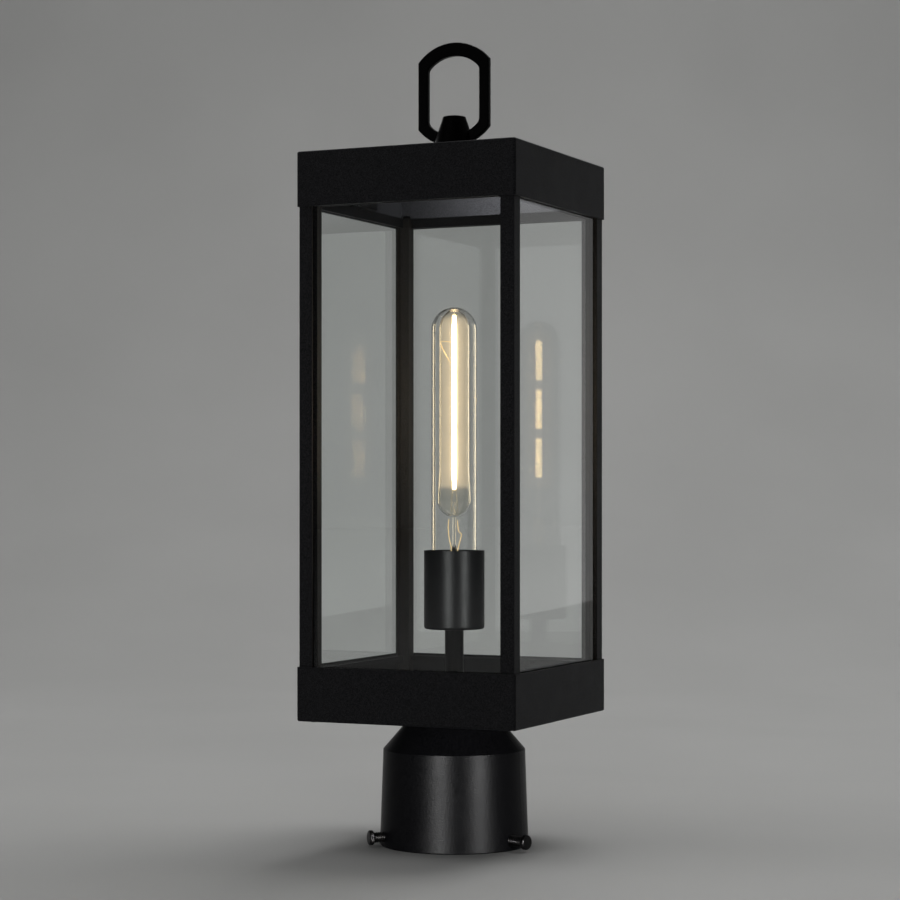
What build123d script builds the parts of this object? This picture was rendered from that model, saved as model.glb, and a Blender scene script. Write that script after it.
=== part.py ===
from build123d import *
import os
from math import cos, radians, sin, sqrt

# Square post top lantern. Millimetres, +Z up. The origin is the centre of the collar's mouth.
# The wide face in the photograph looks along -Y, and +X is to its right.

# --- Driving sizes: post and cast collar ---
post_bore_radius = 39.7
post_bore_depth = 50.8
collar_mouth_radius = 44.65
collar_drum_top_radius = 42.6
collar_drum_height = 57.3
collar_height = 76.8
collar_top_radius = 25.8
collar_ledge_width = 2.2
collar_shoulder_wall = 3.2
collar_flange_thickness = 4.8
collar_flange_hole_radius = 12.0
collar_mouth_chamfer = 0.5

# --- Driving sizes: thumb screws in the collar's wall ---
thumb_screw_height = 6.0
thumb_screw_radius = 3.175
thumb_screw_length = 11.1
thumb_screw_tip_chamfer = 0.5
thumb_head_radius = 4.5
thumb_head_thickness = 3.0
thumb_head_edge = 0.7
thumb_tip_clearance = 0.15
# Direction from -Y towards +X in degrees, and how far each one is backed out of the wall.
thumb_screws = {
    "thumb_screw_left": (-46.0, 0.0),
    "thumb_screw_right": (74.0, 2.8),
    "thumb_screw_back": (194.0, 1.2),
}

# --- Driving sizes: sheet trays ---
body_width = 139.7
sheet_thickness = 1.0
bend_inner_radius = 0.4
base_tray_height = 31.9
cap_tray_height = 32.4
glass_opening_height = 270.2

# --- Driving sizes: corner posts and rails ---
frame_clearance = 0.2
post_leg_width = 8.5
post_leg_thickness = 1.2
post_core_width = 5.5
post_inner_reach = 9.75
post_edge_radius = 0.4
pane_slot_width = 2.9
rail_lip_thickness = 1.4
rail_web_thickness = 1.2
bottom_rail_drop = 1.4
bottom_rail_lip_height = 3.2
top_rail_height = 6.0
rail_tongue_length = 3.5
rail_tongue_overlap = 4.0
rail_tongue_clearance = 0.2

# --- Driving sizes: panes ---
pane_thickness = 2.4
pane_side_clearance = 0.5
pane_top_engagement = 2.3

# --- Driving sizes: fasteners ---
thread_clearance = 0.1
screw_hole_clearance = 0.3
collar_screw_radius = 2.1
collar_screw_length = 5.0
collar_screw_circle_radius = 18.5
collar_screw_head_radius = 3.8
collar_screw_head_height = 2.3
post_screw_radius = 1.5
post_screw_length = 10.0
post_screw_head_radius = 2.7
post_screw_head_height = 1.8
post_screw_low_head_height = 0.7
bridge_screw_radius = 1.25
bridge_screw_length = 3.9
bridge_screw_head_radius = 2.3
bridge_screw_head_height = 1.5
bridge_screw_spacing = 14.0

# --- Driving sizes: cap bridge, stud and nuts ---
bridge_thickness = 1.5
bridge_width = 25.0
bridge_screw_clearance = 4.2
bridge_foot_setback = 0.4
stud_radius = 3.175
stud_projection = 7.0
stud_tail = 1.5
stud_nut_across_flats = 11.1
stud_nut_thickness = 5.5
stud_nut_cap_gap = 0.1

# --- Driving sizes: boss and loop of the finial ---
boss_base_radius = 15.2
boss_top_radius = 6.9
boss_height = 26.4
boss_dome_rise = 0.9
boss_edge_round = 0.7
boss_stud_end_gap = 0.6
loop_width = 46.6
loop_height = 62.0
loop_arc_radius = 30.5
loop_bar_width = 6.4
loop_top_bar_width = 8.0
loop_thickness = 3.8
loop_lift = 8.1
loop_inner_corner_radius = 4.5
loop_outer_corner_radius = 1.2
loop_edge_chamfer = 0.5

# --- Driving sizes: stem, lamp cup and holder ---
stem_radius = 5.65
stem_length = 51.3
nipple_radius = 5.0
nipple_bore_radius = 3.6
nipple_tail = 1.2
nipple_nut_across_flats = 14.0
nipple_nut_thickness = 3.0
cup_radius = 18.2
cup_height = 47.2
cup_wall = 1.0
cup_floor_thickness = 1.2
cup_foot_radius = 1.8
holder_radius = 16.8
holder_top_recess = 3.3
holder_recess_radius = 14.6
holder_recess_height = 6.0
holder_floor_thickness = 4.2
holder_bore_radius = 13.9
holder_wire_hole_radius = 1.6
holder_wire_hole_offset = 8.0
bracket_length = 27.0
bracket_width = 12.0
bracket_thickness = 1.2
holder_screw_radius = 1.5
holder_screw_offset = 10.4
holder_screw_head_radius = 2.4
holder_screw_head_height = 1.4
holder_shell_radius = 13.7
holder_shell_thickness = 0.4
holder_shell_height = 27.0
holder_shell_floor_radius = 5.5
contact_leaf_thickness = 0.5
contact_leaf_width = 5.0
contact_leaf_reach = 3.4
contact_leaf_rise = 2.6

# --- Driving sizes: lamp ---
lamp_contact_gap = 0.2
lamp_contact_radius = 4.8
lamp_contact_height = 1.4
lamp_insulator_height = 3.0
lamp_cap_radius = 12.9
lamp_cap_thickness = 0.4
lamp_cap_height = 21.0
lamp_cap_rim_height = 1.2
lamp_neck_clearance = 0.1
lamp_neck_engagement = 9.0
lamp_shoulder_height = 4.0
lamp_glass_radius = 13.7
lamp_glass_thickness = 0.9
lamp_glass_top = 146.3
inner_tube_radius = 8.9
inner_tube_wall = 0.6
inner_tube_flare_radius = 10.2
inner_tube_bottom = 20.0
inner_tube_taper_height = 12.0
inner_tube_shoulder_drop = 12.0
inner_tube_top_radius = 1.8
inner_tube_top_gap = 0.35
stem_rod_radius = 1.0
stem_press_radius = 2.4
stem_press_height = 7.0
stem_press_taper = 2.0
stem_flare_height = 6.0
stem_flare_clearance = 0.2
filament_turn = 24.8
filament_bottom = 41.4
filament_length = 95.3
filament_strip_width = 1.35
filament_strip_gap = 0.3
filament_strip_thickness = 0.8
filament_tab_width = 2.4
filament_tab_thickness = 0.4
filament_top_tab = 5.0
filament_bottom_tab = 4.8
filament_tab_overlap = 1.0
lead_wire_radius = 0.45
lead_wire_gap = 0.1
lead_bend_radius = 0.8
lead_post_radius = 0.6

# --- Heights and planes worked out from the driving sizes ---
UP = Vector(0, 0, 1)
body_half = body_width / 2
tray_floor_z = collar_height + sheet_thickness
tray_top_z = collar_height + base_tray_height
cap_bottom_z = tray_top_z + glass_opening_height
cap_top_z = cap_bottom_z + cap_tray_height
cap_ceiling_z = cap_top_z - sheet_thickness

frame_half = body_half - sheet_thickness - frame_clearance
frame_top_z = cap_bottom_z + top_rail_height
post_top_z = frame_top_z - rail_web_thickness
bottom_rail_top_z = tray_top_z - bottom_rail_drop
bottom_web_top_z = bottom_rail_top_z - bottom_rail_lip_height + rail_web_thickness
rail_half_length = frame_half - post_inner_reach
rail_depth = post_leg_thickness + pane_slot_width + rail_lip_thickness
pane_plane = frame_half - post_leg_thickness - pane_slot_width / 2
pane_half_width = frame_half - post_core_width - pane_side_clearance
pane_top_z = cap_bottom_z + pane_top_engagement
block_width = post_inner_reach - post_leg_thickness - pane_slot_width
screw_port = frame_half - post_inner_reach + block_width / 2
post_screw_points = [(x * screw_port, y * screw_port) for x in (-1, 1) for y in (-1, 1)]

bridge_top_z = cap_ceiling_z - stud_nut_cap_gap - stud_nut_thickness
bridge_foot_end = frame_half - bridge_foot_setback
bridge_screw_points = [
    (x * pane_plane, y * bridge_screw_spacing / 2) for x in (-1, 1) for y in (-1, 1)
]
stud_top_z = cap_top_z + stud_projection
stud_bottom_z = bridge_top_z - bridge_thickness - stud_nut_thickness - stud_tail

cup_floor_z = tray_floor_z + stem_length
cup_inside_z = cup_floor_z + cup_floor_thickness
cup_rim_z = cup_floor_z + cup_height
nipple_bottom_z = collar_height - nipple_nut_thickness - nipple_tail
upper_nut_z = cup_inside_z + bracket_thickness
nipple_top_z = upper_nut_z + nipple_nut_thickness + nipple_tail
holder_floor_z = cup_inside_z + holder_recess_height
shell_floor_z = holder_floor_z + holder_floor_thickness
holder_top_z = cup_rim_z - holder_top_recess
holder_screw_points = [(-holder_screw_offset, 0), (holder_screw_offset, 0)]
holder_screw_seat_z = shell_floor_z + holder_shell_thickness
holder_screw_length = holder_screw_seat_z - cup_inside_z - lamp_contact_gap

# Heights in the lamp are measured from the cup's rim, where its glass comes into sight.
contact_z = shell_floor_z + contact_leaf_rise + contact_leaf_thickness + lamp_contact_gap
insulator_z = contact_z + lamp_contact_height
cap_shell_z = insulator_z + lamp_insulator_height
cap_shell_top_z = cap_shell_z + lamp_cap_height
neck_radius = lamp_cap_radius - lamp_cap_thickness - lamp_neck_clearance
neck_bottom_z = cap_shell_top_z - lamp_neck_engagement
glass_top_z = cup_rim_z + lamp_glass_top
inner_bottom_z = cup_rim_z + inner_tube_bottom
inner_top_z = glass_top_z - lamp_glass_thickness - inner_tube_top_gap
press_top_z = cup_rim_z + stem_press_height
flare_radius = neck_radius - lamp_glass_thickness - stem_flare_clearance
filament_z = cup_rim_z + filament_bottom

os.makedirs("parts", exist_ok=True)


def save(piece, name):
    """Label a finished piece and write it under its node's name."""
    piece.part.label = name
    export_step(piece.part, f"parts/{name}.step")


def level(height, direction=1):
    """Horizontal plane at a height, facing up or down."""
    return Plane(origin=(0, 0, height), x_dir=(1, 0, 0), z_dir=(0, 0, direction))


def outline(plane, points):
    """Face inside a closed outline of straight lines, drawn on a plane."""
    with BuildSketch(plane) as section:
        with BuildLine():
            Polyline(*points, close=True)
        make_face()
    return section.sketch


def pan_screws(name, points, seat_z, direction, radius, length, head_radius, head_height):
    """A group of like pan-head screws: heads rise from the seat, shanks go the other way."""
    with BuildPart() as screws:
        with BuildSketch(level(seat_z, direction)):
            with Locations(*points):
                Circle(head_radius)
        extrude(amount=head_height)
        head_tops = screws.faces().filter_by(Axis.Z).group_by(Axis.Z)[-1 if direction > 0 else 0]
        chamfer(head_tops.edges(), head_height / 3)
        with BuildSketch(level(seat_z, direction)):
            with Locations(*points):
                Circle(radius)
        extrude(amount=-length)
    save(screws, name)


def hex_nuts(name, heights, across_flats, thickness, hole_radius):
    """A group of like hex nuts on the lantern's axis, each standing on its own height."""
    with BuildPart() as nuts:
        for height in heights:
            with BuildSketch(level(height)):
                RegularPolygon(across_flats / 2, 6, major_radius=False)
                Circle(hole_radius, mode=Mode.SUBTRACT)
            extrude(amount=thickness)
    save(nuts, name)


# --- Cast collar: tapering drum, conical shoulder and a flange that carries the tray ---
shoulder_slope = (collar_drum_top_radius - collar_top_radius) / (collar_height - collar_drum_height)
shoulder_wall_across = collar_shoulder_wall * sqrt(1 + shoulder_slope**2)
flange_under_z = collar_height - collar_flange_thickness
ledge_radius = post_bore_radius - collar_ledge_width
inner_cone_start_radius = collar_drum_top_radius - shoulder_wall_across
inner_cone_z = collar_drum_height + (inner_cone_start_radius - ledge_radius) / shoulder_slope
inner_cone_top_radius = (
    inner_cone_start_radius - (flange_under_z - collar_drum_height) * shoulder_slope
)


def screw_direction(angle):
    """Unit vector at an angle from -Y towards +X."""
    return Vector(sin(radians(angle)), -cos(radians(angle)), 0)


def screw_plane(angle, distance):
    """Plane across a thumb screw's axis, at a distance from the lantern's axis."""
    outward = screw_direction(angle)
    return Plane(origin=outward * distance + UP * thumb_screw_height, x_dir=UP, z_dir=outward)


with BuildPart() as post_collar:
    collar_section = outline(
        Plane.XZ,
        [
            (post_bore_radius, 0),
            (collar_mouth_radius, 0),
            (collar_drum_top_radius, collar_drum_height),
            (collar_top_radius, collar_height),
            (collar_flange_hole_radius, collar_height),
            (collar_flange_hole_radius, flange_under_z),
            (inner_cone_top_radius, flange_under_z),
            (ledge_radius, inner_cone_z),
            (ledge_radius, post_bore_depth),
            (post_bore_radius, post_bore_depth),
        ],
    )
    revolve(collar_section, axis=Axis.Z)
    mouth_edges = post_collar.edges().group_by(Axis.Z)[0].sort_by(SortBy.RADIUS)
    chamfer(mouth_edges[-1], collar_mouth_chamfer)
    for thumb_angle, thumb_backed_out in thumb_screws.values():
        with BuildSketch(screw_plane(thumb_angle, 0)):
            Circle(thumb_screw_radius + thread_clearance)
        extrude(amount=collar_mouth_radius, mode=Mode.SUBTRACT)
    with BuildSketch(level(collar_height)):
        with PolarLocations(collar_screw_circle_radius, 3):
            Circle(collar_screw_radius + thread_clearance)
    extrude(amount=-collar_flange_thickness, mode=Mode.SUBTRACT)
save(post_collar, "post_collar")

# --- Thumb screws: round heads on plain shanks, each at its own depth in the wall ---
for screw_name, (thumb_angle, thumb_backed_out) in thumb_screws.items():
    tip_distance = post_bore_radius + thumb_tip_clearance + thumb_backed_out
    tip_plane = screw_plane(thumb_angle, tip_distance)
    with BuildPart() as thumb_screw:
        with BuildSketch(tip_plane):
            Circle(thumb_screw_radius)
        extrude(amount=thumb_screw_length)
        outward_axis = Axis(tip_plane.origin, tip_plane.z_dir)
        chamfer(thumb_screw.edges().group_by(outward_axis)[0], thumb_screw_tip_chamfer)
        with BuildSketch(tip_plane.offset(thumb_screw_length)):
            Circle(thumb_head_radius)
        extrude(amount=thumb_head_thickness)
        rim_edges = thumb_screw.edges().filter_by(
            lambda edge: edge.geom_type == GeomType.CIRCLE
            and abs(edge.radius - thumb_head_radius) < thread_clearance
        )
        chamfer(rim_edges, thumb_head_edge)
    save(thumb_screw, screw_name)


# --- Folded trays: one sheet each, open above or below ---
def folded_tray(name, outside_z, direction, height, holes):
    """A square folded tray. Its floor's outside is at outside_z, and it opens in direction."""
    outside = level(outside_z, direction)
    with BuildPart() as tray:
        with BuildSketch(outside):
            RectangleRounded(body_width, body_width, sheet_thickness + bend_inner_radius)
        extrude(amount=height)
        floor_edges = tray.edges().group_by(Axis.Z)[0 if direction > 0 else -1]
        fillet(floor_edges, sheet_thickness + bend_inner_radius / 2)
        inner_width = body_width - 2 * sheet_thickness
        with BuildSketch(outside.offset(sheet_thickness)):
            RectangleRounded(inner_width, inner_width, bend_inner_radius)
        extrude(amount=height, mode=Mode.SUBTRACT)
        for hole_radius, hole_points in holes:
            with BuildSketch(outside):
                with Locations(*hole_points):
                    Circle(hole_radius)
            extrude(amount=sheet_thickness, mode=Mode.SUBTRACT)
    save(tray, name)


collar_screw_points = [
    (
        collar_screw_circle_radius * cos(radians(turn)),
        collar_screw_circle_radius * sin(radians(turn)),
    )
    for turn in (0, 120, 240)
]
folded_tray(
    "base_tray",
    collar_height,
    1,
    base_tray_height,
    [
        (nipple_radius + screw_hole_clearance, [(0, 0)]),
        (collar_screw_radius + screw_hole_clearance, collar_screw_points),
        (post_screw_radius + screw_hole_clearance, post_screw_points),
    ],
)
folded_tray(
    "cap_tray",
    cap_top_z,
    -1,
    cap_tray_height,
    [(stud_radius + screw_hole_clearance, [(0, 0)])],
)


# --- Corner posts: outer legs, a core, an inner block, and a slot for each pane between them ---
def corner_square(size, reach, side_x, side_y):
    """Square in the open sketch that ends at a reach from the frame's two outer faces."""
    with Locations((side_x * (frame_half - reach + size / 2), side_y * (frame_half - reach + size / 2))):
        Rectangle(size, size)


for post_name, side_x, side_y in (
    ("corner_post_front_left", -1, -1),
    ("corner_post_front_right", 1, -1),
    ("corner_post_back_left", -1, 1),
    ("corner_post_back_right", 1, 1),
):
    leg_middle = frame_half - post_leg_width / 2
    leg_depth = frame_half - post_leg_thickness / 2
    with BuildPart() as corner_post:
        with BuildSketch(level(tray_floor_z)) as post_section:
            with Locations((side_x * leg_middle, side_y * leg_depth)):
                Rectangle(post_leg_width, post_leg_thickness)
            with Locations((side_x * leg_depth, side_y * leg_middle)):
                Rectangle(post_leg_thickness, post_leg_width)
            corner_square(post_core_width, post_core_width, side_x, side_y)
            corner_square(block_width, post_inner_reach, side_x, side_y)
            with Locations((side_x * screw_port, side_y * screw_port)):
                Circle(post_screw_radius + thread_clearance, mode=Mode.SUBTRACT)
            outer_corner = post_section.vertices().sort_by_distance((0, 0, 0))[-1]
            fillet(outer_corner, post_edge_radius)
        extrude(amount=post_top_z - tray_floor_z)
    save(corner_post, post_name)


# --- Rails: channels between the posts, with the panes' edges in them ---
def side_plane(outward):
    """Plane across a side's length: local x is the distance outward, local y is the height."""
    return Plane(origin=(0, 0, 0), x_dir=outward, z_dir=outward.cross(UP))


def tongues(outward, top_z):
    """Top faces of the tongues at both ends of a rail, which reach into the posts' slots."""
    tongue_length = rail_tongue_length + rail_tongue_overlap
    tongue_middle = rail_half_length - rail_tongue_overlap + tongue_length / 2
    along = outward.cross(UP)
    place = outward * pane_plane + UP * top_z
    with BuildSketch(Plane(origin=place, x_dir=along, z_dir=UP)) as tongue_tops:
        with Locations((-tongue_middle, 0), (tongue_middle, 0)):
            Rectangle(tongue_length, pane_slot_width - 2 * rail_tongue_clearance)
    return tongue_tops.sketch


sides = {
    "front": Vector(0, -1, 0),
    "back": Vector(0, 1, 0),
    "left": Vector(-1, 0, 0),
    "right": Vector(1, 0, 0),
}
slot_outer = frame_half - post_leg_thickness
slot_inner = slot_outer - pane_slot_width
rail_inner = frame_half - rail_depth
bottom_web_under_z = bottom_web_top_z - rail_web_thickness

for side_name, outward in sides.items():
    with BuildPart() as bottom_rail:
        bottom_section = outline(
            side_plane(outward),
            [
                (frame_half, tray_floor_z),
                (frame_half, bottom_rail_top_z),
                (slot_outer, bottom_rail_top_z),
                (slot_outer, bottom_web_top_z),
                (slot_inner, bottom_web_top_z),
                (slot_inner, bottom_rail_top_z),
                (rail_inner, bottom_rail_top_z),
                (rail_inner, bottom_web_under_z),
                (slot_outer, bottom_web_under_z),
                (slot_outer, tray_floor_z),
            ],
        )
        extrude(bottom_section, amount=rail_half_length, both=True)
        extrude(tongues(outward, bottom_web_top_z), amount=-rail_web_thickness)
    save(bottom_rail, f"bottom_rail_{side_name}")

    with BuildPart() as top_rail:
        top_section = outline(
            side_plane(outward),
            [
                (frame_half, cap_bottom_z),
                (frame_half, frame_top_z),
                (rail_inner, frame_top_z),
                (rail_inner, cap_bottom_z),
                (slot_inner, cap_bottom_z),
                (slot_inner, post_top_z),
                (slot_outer, post_top_z),
                (slot_outer, cap_bottom_z),
            ],
        )
        extrude(top_section, amount=rail_half_length, both=True)
        if outward.X == 0:
            # The front and back rails have end tabs that lie on the posts under a screw.
            for end in (-1, 1):
                with BuildSketch(level(post_top_z)):
                    corner_square(post_inner_reach, post_inner_reach, end, outward.Y)
                    with Locations((end * screw_port, outward.Y * screw_port)):
                        Circle(post_screw_radius + screw_hole_clearance, mode=Mode.SUBTRACT)
                extrude(amount=rail_web_thickness)
        else:
            # The side rails hang by tongues under those tabs and carry the cap's bridge.
            extrude(tongues(outward, post_top_z), amount=-rail_web_thickness)
            own_screw_points = [point for point in bridge_screw_points if point[0] * outward.X > 0]
            with BuildSketch(level(frame_top_z)):
                with Locations(*own_screw_points):
                    Circle(bridge_screw_radius + thread_clearance)
            extrude(amount=-rail_web_thickness, mode=Mode.SUBTRACT)
    save(top_rail, f"top_rail_{side_name}")

    # --- Clear pane in the slots of its two posts and its two rails ---
    with BuildPart() as glass_pane:
        with BuildSketch(side_plane(outward)):
            with Locations((pane_plane, (bottom_web_top_z + pane_top_z) / 2)):
                Rectangle(pane_thickness, pane_top_z - bottom_web_top_z)
        extrude(amount=pane_half_width, both=True)
    save(glass_pane, f"glass_pane_{side_name}")

# --- Screws of the collar, the posts, the bridge and the lampholder ---
pan_screws(
    "collar_screws", collar_screw_points, tray_floor_z, 1, collar_screw_radius,
    collar_screw_length, collar_screw_head_radius, collar_screw_head_height,
)
pan_screws(
    "post_screws_bottom", post_screw_points, collar_height, -1, post_screw_radius,
    post_screw_length, post_screw_head_radius, post_screw_low_head_height,
)
pan_screws(
    "post_screws_top", post_screw_points, frame_top_z, 1, post_screw_radius,
    post_screw_length, post_screw_head_radius, post_screw_head_height,
)
pan_screws(
    "bridge_screws", bridge_screw_points, frame_top_z + bridge_thickness, 1, bridge_screw_radius,
    bridge_screw_length, bridge_screw_head_radius, bridge_screw_head_height,
)
pan_screws(
    "lampholder_screws", holder_screw_points, holder_screw_seat_z, 1, holder_screw_radius,
    holder_screw_length, holder_screw_head_radius, holder_screw_head_height,
)

# --- Bridge under the cap, with its stud and nuts ---
with BuildPart() as cap_bridge:
    riser_outside = pane_plane - bridge_screw_head_radius - bridge_screw_clearance
    riser_inside = riser_outside - bridge_thickness
    foot_top_z = frame_top_z + bridge_thickness
    bridge_half = [
        (riser_inside, bridge_top_z - bridge_thickness),
        (riser_inside, frame_top_z),
        (bridge_foot_end, frame_top_z),
        (bridge_foot_end, foot_top_z),
        (riser_outside, foot_top_z),
        (riser_outside, bridge_top_z),
    ]
    bridge_section = outline(Plane.XZ, bridge_half + [(-x, z) for x, z in reversed(bridge_half)])
    extrude(bridge_section, amount=bridge_width / 2, both=True)
    with BuildSketch(level(bridge_top_z)):
        Circle(stud_radius + screw_hole_clearance)
    extrude(amount=-bridge_thickness, mode=Mode.SUBTRACT)
    with BuildSketch(level(foot_top_z)):
        with Locations(*bridge_screw_points):
            Circle(bridge_screw_radius + screw_hole_clearance)
    extrude(amount=-bridge_thickness, mode=Mode.SUBTRACT)
save(cap_bridge, "cap_bridge")

with BuildPart() as cap_stud:
    with BuildSketch(level(stud_bottom_z)):
        Circle(stud_radius)
    extrude(amount=stud_top_z - stud_bottom_z)
    chamfer(cap_stud.edges().group_by(Axis.Z)[-1], thumb_screw_tip_chamfer)
save(cap_stud, "cap_stud")

hex_nuts(
    "stud_nuts",
    (bridge_top_z - bridge_thickness - stud_nut_thickness, bridge_top_z),
    stud_nut_across_flats,
    stud_nut_thickness,
    stud_radius + thread_clearance,
)

# --- Finial: a domed cone with the flat carrying loop cast through it ---
loop_bottom_z = cap_top_z + loop_lift
loop_middle_z = loop_bottom_z + loop_height / 2
loop_half = loop_width / 2
loop_arc_rise = loop_arc_radius - sqrt(loop_arc_radius**2 - loop_half**2)
inner_half = loop_half - loop_bar_width
inner_arc_radius = loop_arc_radius - loop_top_bar_width
inner_half_height = (loop_height - loop_bar_width - loop_top_bar_width) / 2
inner_middle = (loop_bar_width - loop_top_bar_width) / 2
inner_arc_rise = inner_arc_radius - sqrt(inner_arc_radius**2 - inner_half**2)


def loop_outline(half_width, half_height, arc_rise):
    """Face with straight sides and bowed ends about the middle of the loop."""
    side = half_height - arc_rise
    with BuildSketch() as section:
        with BuildLine():
            Line((half_width, -side), (half_width, side))
            ThreePointArc((half_width, side), (0, half_height), (-half_width, side))
            Line((-half_width, side), (-half_width, -side))
            ThreePointArc((-half_width, -side), (0, -half_height), (half_width, -side))
        make_face()
    return section.sketch


with BuildPart() as finial:
    loop_plane = Plane(origin=(0, 0, loop_middle_z), x_dir=(1, 0, 0), z_dir=(0, -1, 0))
    with BuildSketch(loop_plane) as loop_face:
        add(loop_outline(loop_half, loop_height / 2, loop_arc_rise))
        fillet(loop_face.vertices(), loop_outer_corner_radius)
        with BuildSketch(mode=Mode.SUBTRACT) as loop_hole:
            with Locations((0, inner_middle)):
                add(loop_outline(inner_half, inner_half_height, inner_arc_rise))
            fillet(loop_hole.vertices(), loop_inner_corner_radius)
    extrude(amount=loop_thickness / 2, both=True)
    chamfer(finial.edges().group_by(Axis.Y)[0], loop_edge_chamfer)
    chamfer(finial.edges().group_by(Axis.Y)[-1], loop_edge_chamfer)
    boss_top_z = cap_top_z + boss_height
    boss_edge_z = boss_top_z - boss_dome_rise
    dome_radius = (boss_top_radius**2 + boss_dome_rise**2) / (2 * boss_dome_rise)
    with BuildSketch(Plane.XZ) as boss_section:
        with BuildLine():
            Line((0, cap_top_z), (boss_base_radius, cap_top_z))
            Line((boss_base_radius, cap_top_z), (boss_top_radius, boss_edge_z))
            RadiusArc((boss_top_radius, boss_edge_z), (0, boss_top_z), -dome_radius)
            Line((0, boss_top_z), (0, cap_top_z))
        make_face()
        boss_rim = boss_section.vertices().sort_by_distance((boss_top_radius, boss_edge_z))[0]
        fillet(boss_rim, boss_edge_round)
    revolve(axis=Axis.Z)
    with BuildSketch(level(cap_top_z)):
        Circle(stud_radius + thread_clearance)
    extrude(amount=stud_projection + boss_stud_end_gap, mode=Mode.SUBTRACT)
save(finial, "finial")

# --- Stem, hollow threaded rod and lock nuts ---
with BuildPart() as stem_tube:
    with BuildSketch(level(tray_floor_z)):
        Circle(stem_radius)
        Circle(nipple_radius + thread_clearance, mode=Mode.SUBTRACT)
    extrude(amount=stem_length)
save(stem_tube, "stem_tube")

with BuildPart() as wiring_nipple:
    with BuildSketch(level(nipple_bottom_z)):
        Circle(nipple_radius)
        Circle(nipple_bore_radius, mode=Mode.SUBTRACT)
    extrude(amount=nipple_top_z - nipple_bottom_z)
save(wiring_nipple, "wiring_nipple")

hex_nuts(
    "nipple_nuts",
    (collar_height - nipple_nut_thickness, upper_nut_z),
    nipple_nut_across_flats,
    nipple_nut_thickness,
    nipple_radius + thread_clearance,
)

# --- Lamp cup: a drawn round can with a rounded foot ---
with BuildPart() as socket_cup:
    with BuildSketch(level(cup_floor_z)):
        Circle(cup_radius)
    extrude(amount=cup_height)
    fillet(socket_cup.edges().group_by(Axis.Z)[0], cup_foot_radius)
    with BuildSketch(level(cup_inside_z)):
        Circle(cup_radius - cup_wall)
    extrude(amount=cup_height, mode=Mode.SUBTRACT)
    with BuildSketch(level(cup_floor_z)):
        Circle(nipple_radius + screw_hole_clearance)
    extrude(amount=cup_floor_thickness, mode=Mode.SUBTRACT)
save(socket_cup, "socket_cup")

# --- Lampholder: bracket, insulating body, threaded shell and centre contact ---
with BuildPart() as lampholder_bracket:
    with BuildSketch(level(cup_inside_z)):
        SlotOverall(bracket_length, bracket_width)
        Circle(nipple_radius + screw_hole_clearance, mode=Mode.SUBTRACT)
        with Locations(*holder_screw_points):
            Circle(holder_screw_radius + thread_clearance, mode=Mode.SUBTRACT)
    extrude(amount=bracket_thickness)
save(lampholder_bracket, "lampholder_bracket")

with BuildPart() as lampholder_body:
    with BuildSketch(level(cup_inside_z)):
        Circle(holder_radius)
    extrude(amount=holder_top_z - cup_inside_z)
    with BuildSketch(level(cup_inside_z)):
        Circle(holder_recess_radius)
    extrude(amount=holder_recess_height, mode=Mode.SUBTRACT)
    with BuildSketch(level(shell_floor_z)):
        Circle(holder_bore_radius)
    extrude(amount=holder_top_z - shell_floor_z, mode=Mode.SUBTRACT)
    with BuildSketch(level(holder_floor_z)):
        with Locations(*holder_screw_points):
            Circle(holder_screw_radius + screw_hole_clearance)
        with Locations((0, -holder_wire_hole_offset), (0, holder_wire_hole_offset)):
            Circle(holder_wire_hole_radius)
    extrude(amount=holder_floor_thickness, mode=Mode.SUBTRACT)
save(lampholder_body, "lampholder_body")

with BuildPart() as lampholder_shell:
    with BuildSketch(level(shell_floor_z)):
        Circle(holder_shell_radius)
    extrude(amount=holder_shell_height)
    with BuildSketch(level(shell_floor_z + holder_shell_thickness)):
        Circle(holder_shell_radius - holder_shell_thickness)
    extrude(amount=holder_shell_height, mode=Mode.SUBTRACT)
    with BuildSketch(level(shell_floor_z)):
        Circle(holder_shell_floor_radius)
        with Locations(*holder_screw_points):
            Circle(holder_screw_radius + screw_hole_clearance)
    extrude(amount=holder_shell_thickness, mode=Mode.SUBTRACT)
save(lampholder_shell, "lampholder_shell")

with BuildPart() as lampholder_contact:
    leaf_low = shell_floor_z
    leaf_high = shell_floor_z + contact_leaf_rise
    leaf_knee = contact_leaf_reach / 2
    leaf_line = [
        (-contact_leaf_reach, leaf_low),
        (-leaf_knee, leaf_low),
        (leaf_knee, leaf_high),
        (contact_leaf_reach, leaf_high),
    ]
    leaf_back = [(x, z + contact_leaf_thickness) for x, z in reversed(leaf_line)]
    extrude(outline(Plane.XZ, leaf_line + leaf_back), amount=contact_leaf_width / 2, both=True)
save(lampholder_contact, "lampholder_contact")

# --- Lamp: screw base ---
with BuildPart() as bulb_cap_contact:
    with BuildSketch(level(contact_z)):
        Circle(lamp_contact_radius)
    extrude(amount=lamp_contact_height)
    chamfer(bulb_cap_contact.edges().group_by(Axis.Z)[0], lamp_contact_height / 2)
save(bulb_cap_contact, "bulb_cap_contact")

cap_shell_inner_radius = lamp_cap_radius - lamp_cap_thickness
with BuildPart() as bulb_cap_insulator:
    insulator_section = outline(
        Plane.XZ,
        [
            (0, insulator_z),
            (lamp_contact_radius, insulator_z),
            (cap_shell_inner_radius, cap_shell_z),
            (cap_shell_inner_radius, cap_shell_z + lamp_cap_rim_height),
            (0, cap_shell_z + lamp_cap_rim_height),
        ],
    )
    revolve(insulator_section, axis=Axis.Z)
save(bulb_cap_insulator, "bulb_cap_insulator")

with BuildPart() as bulb_cap_shell:
    with BuildSketch(level(cap_shell_z)):
        Circle(lamp_cap_radius)
        Circle(cap_shell_inner_radius, mode=Mode.SUBTRACT)
    extrude(amount=lamp_cap_height)
save(bulb_cap_shell, "bulb_cap_shell")


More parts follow.
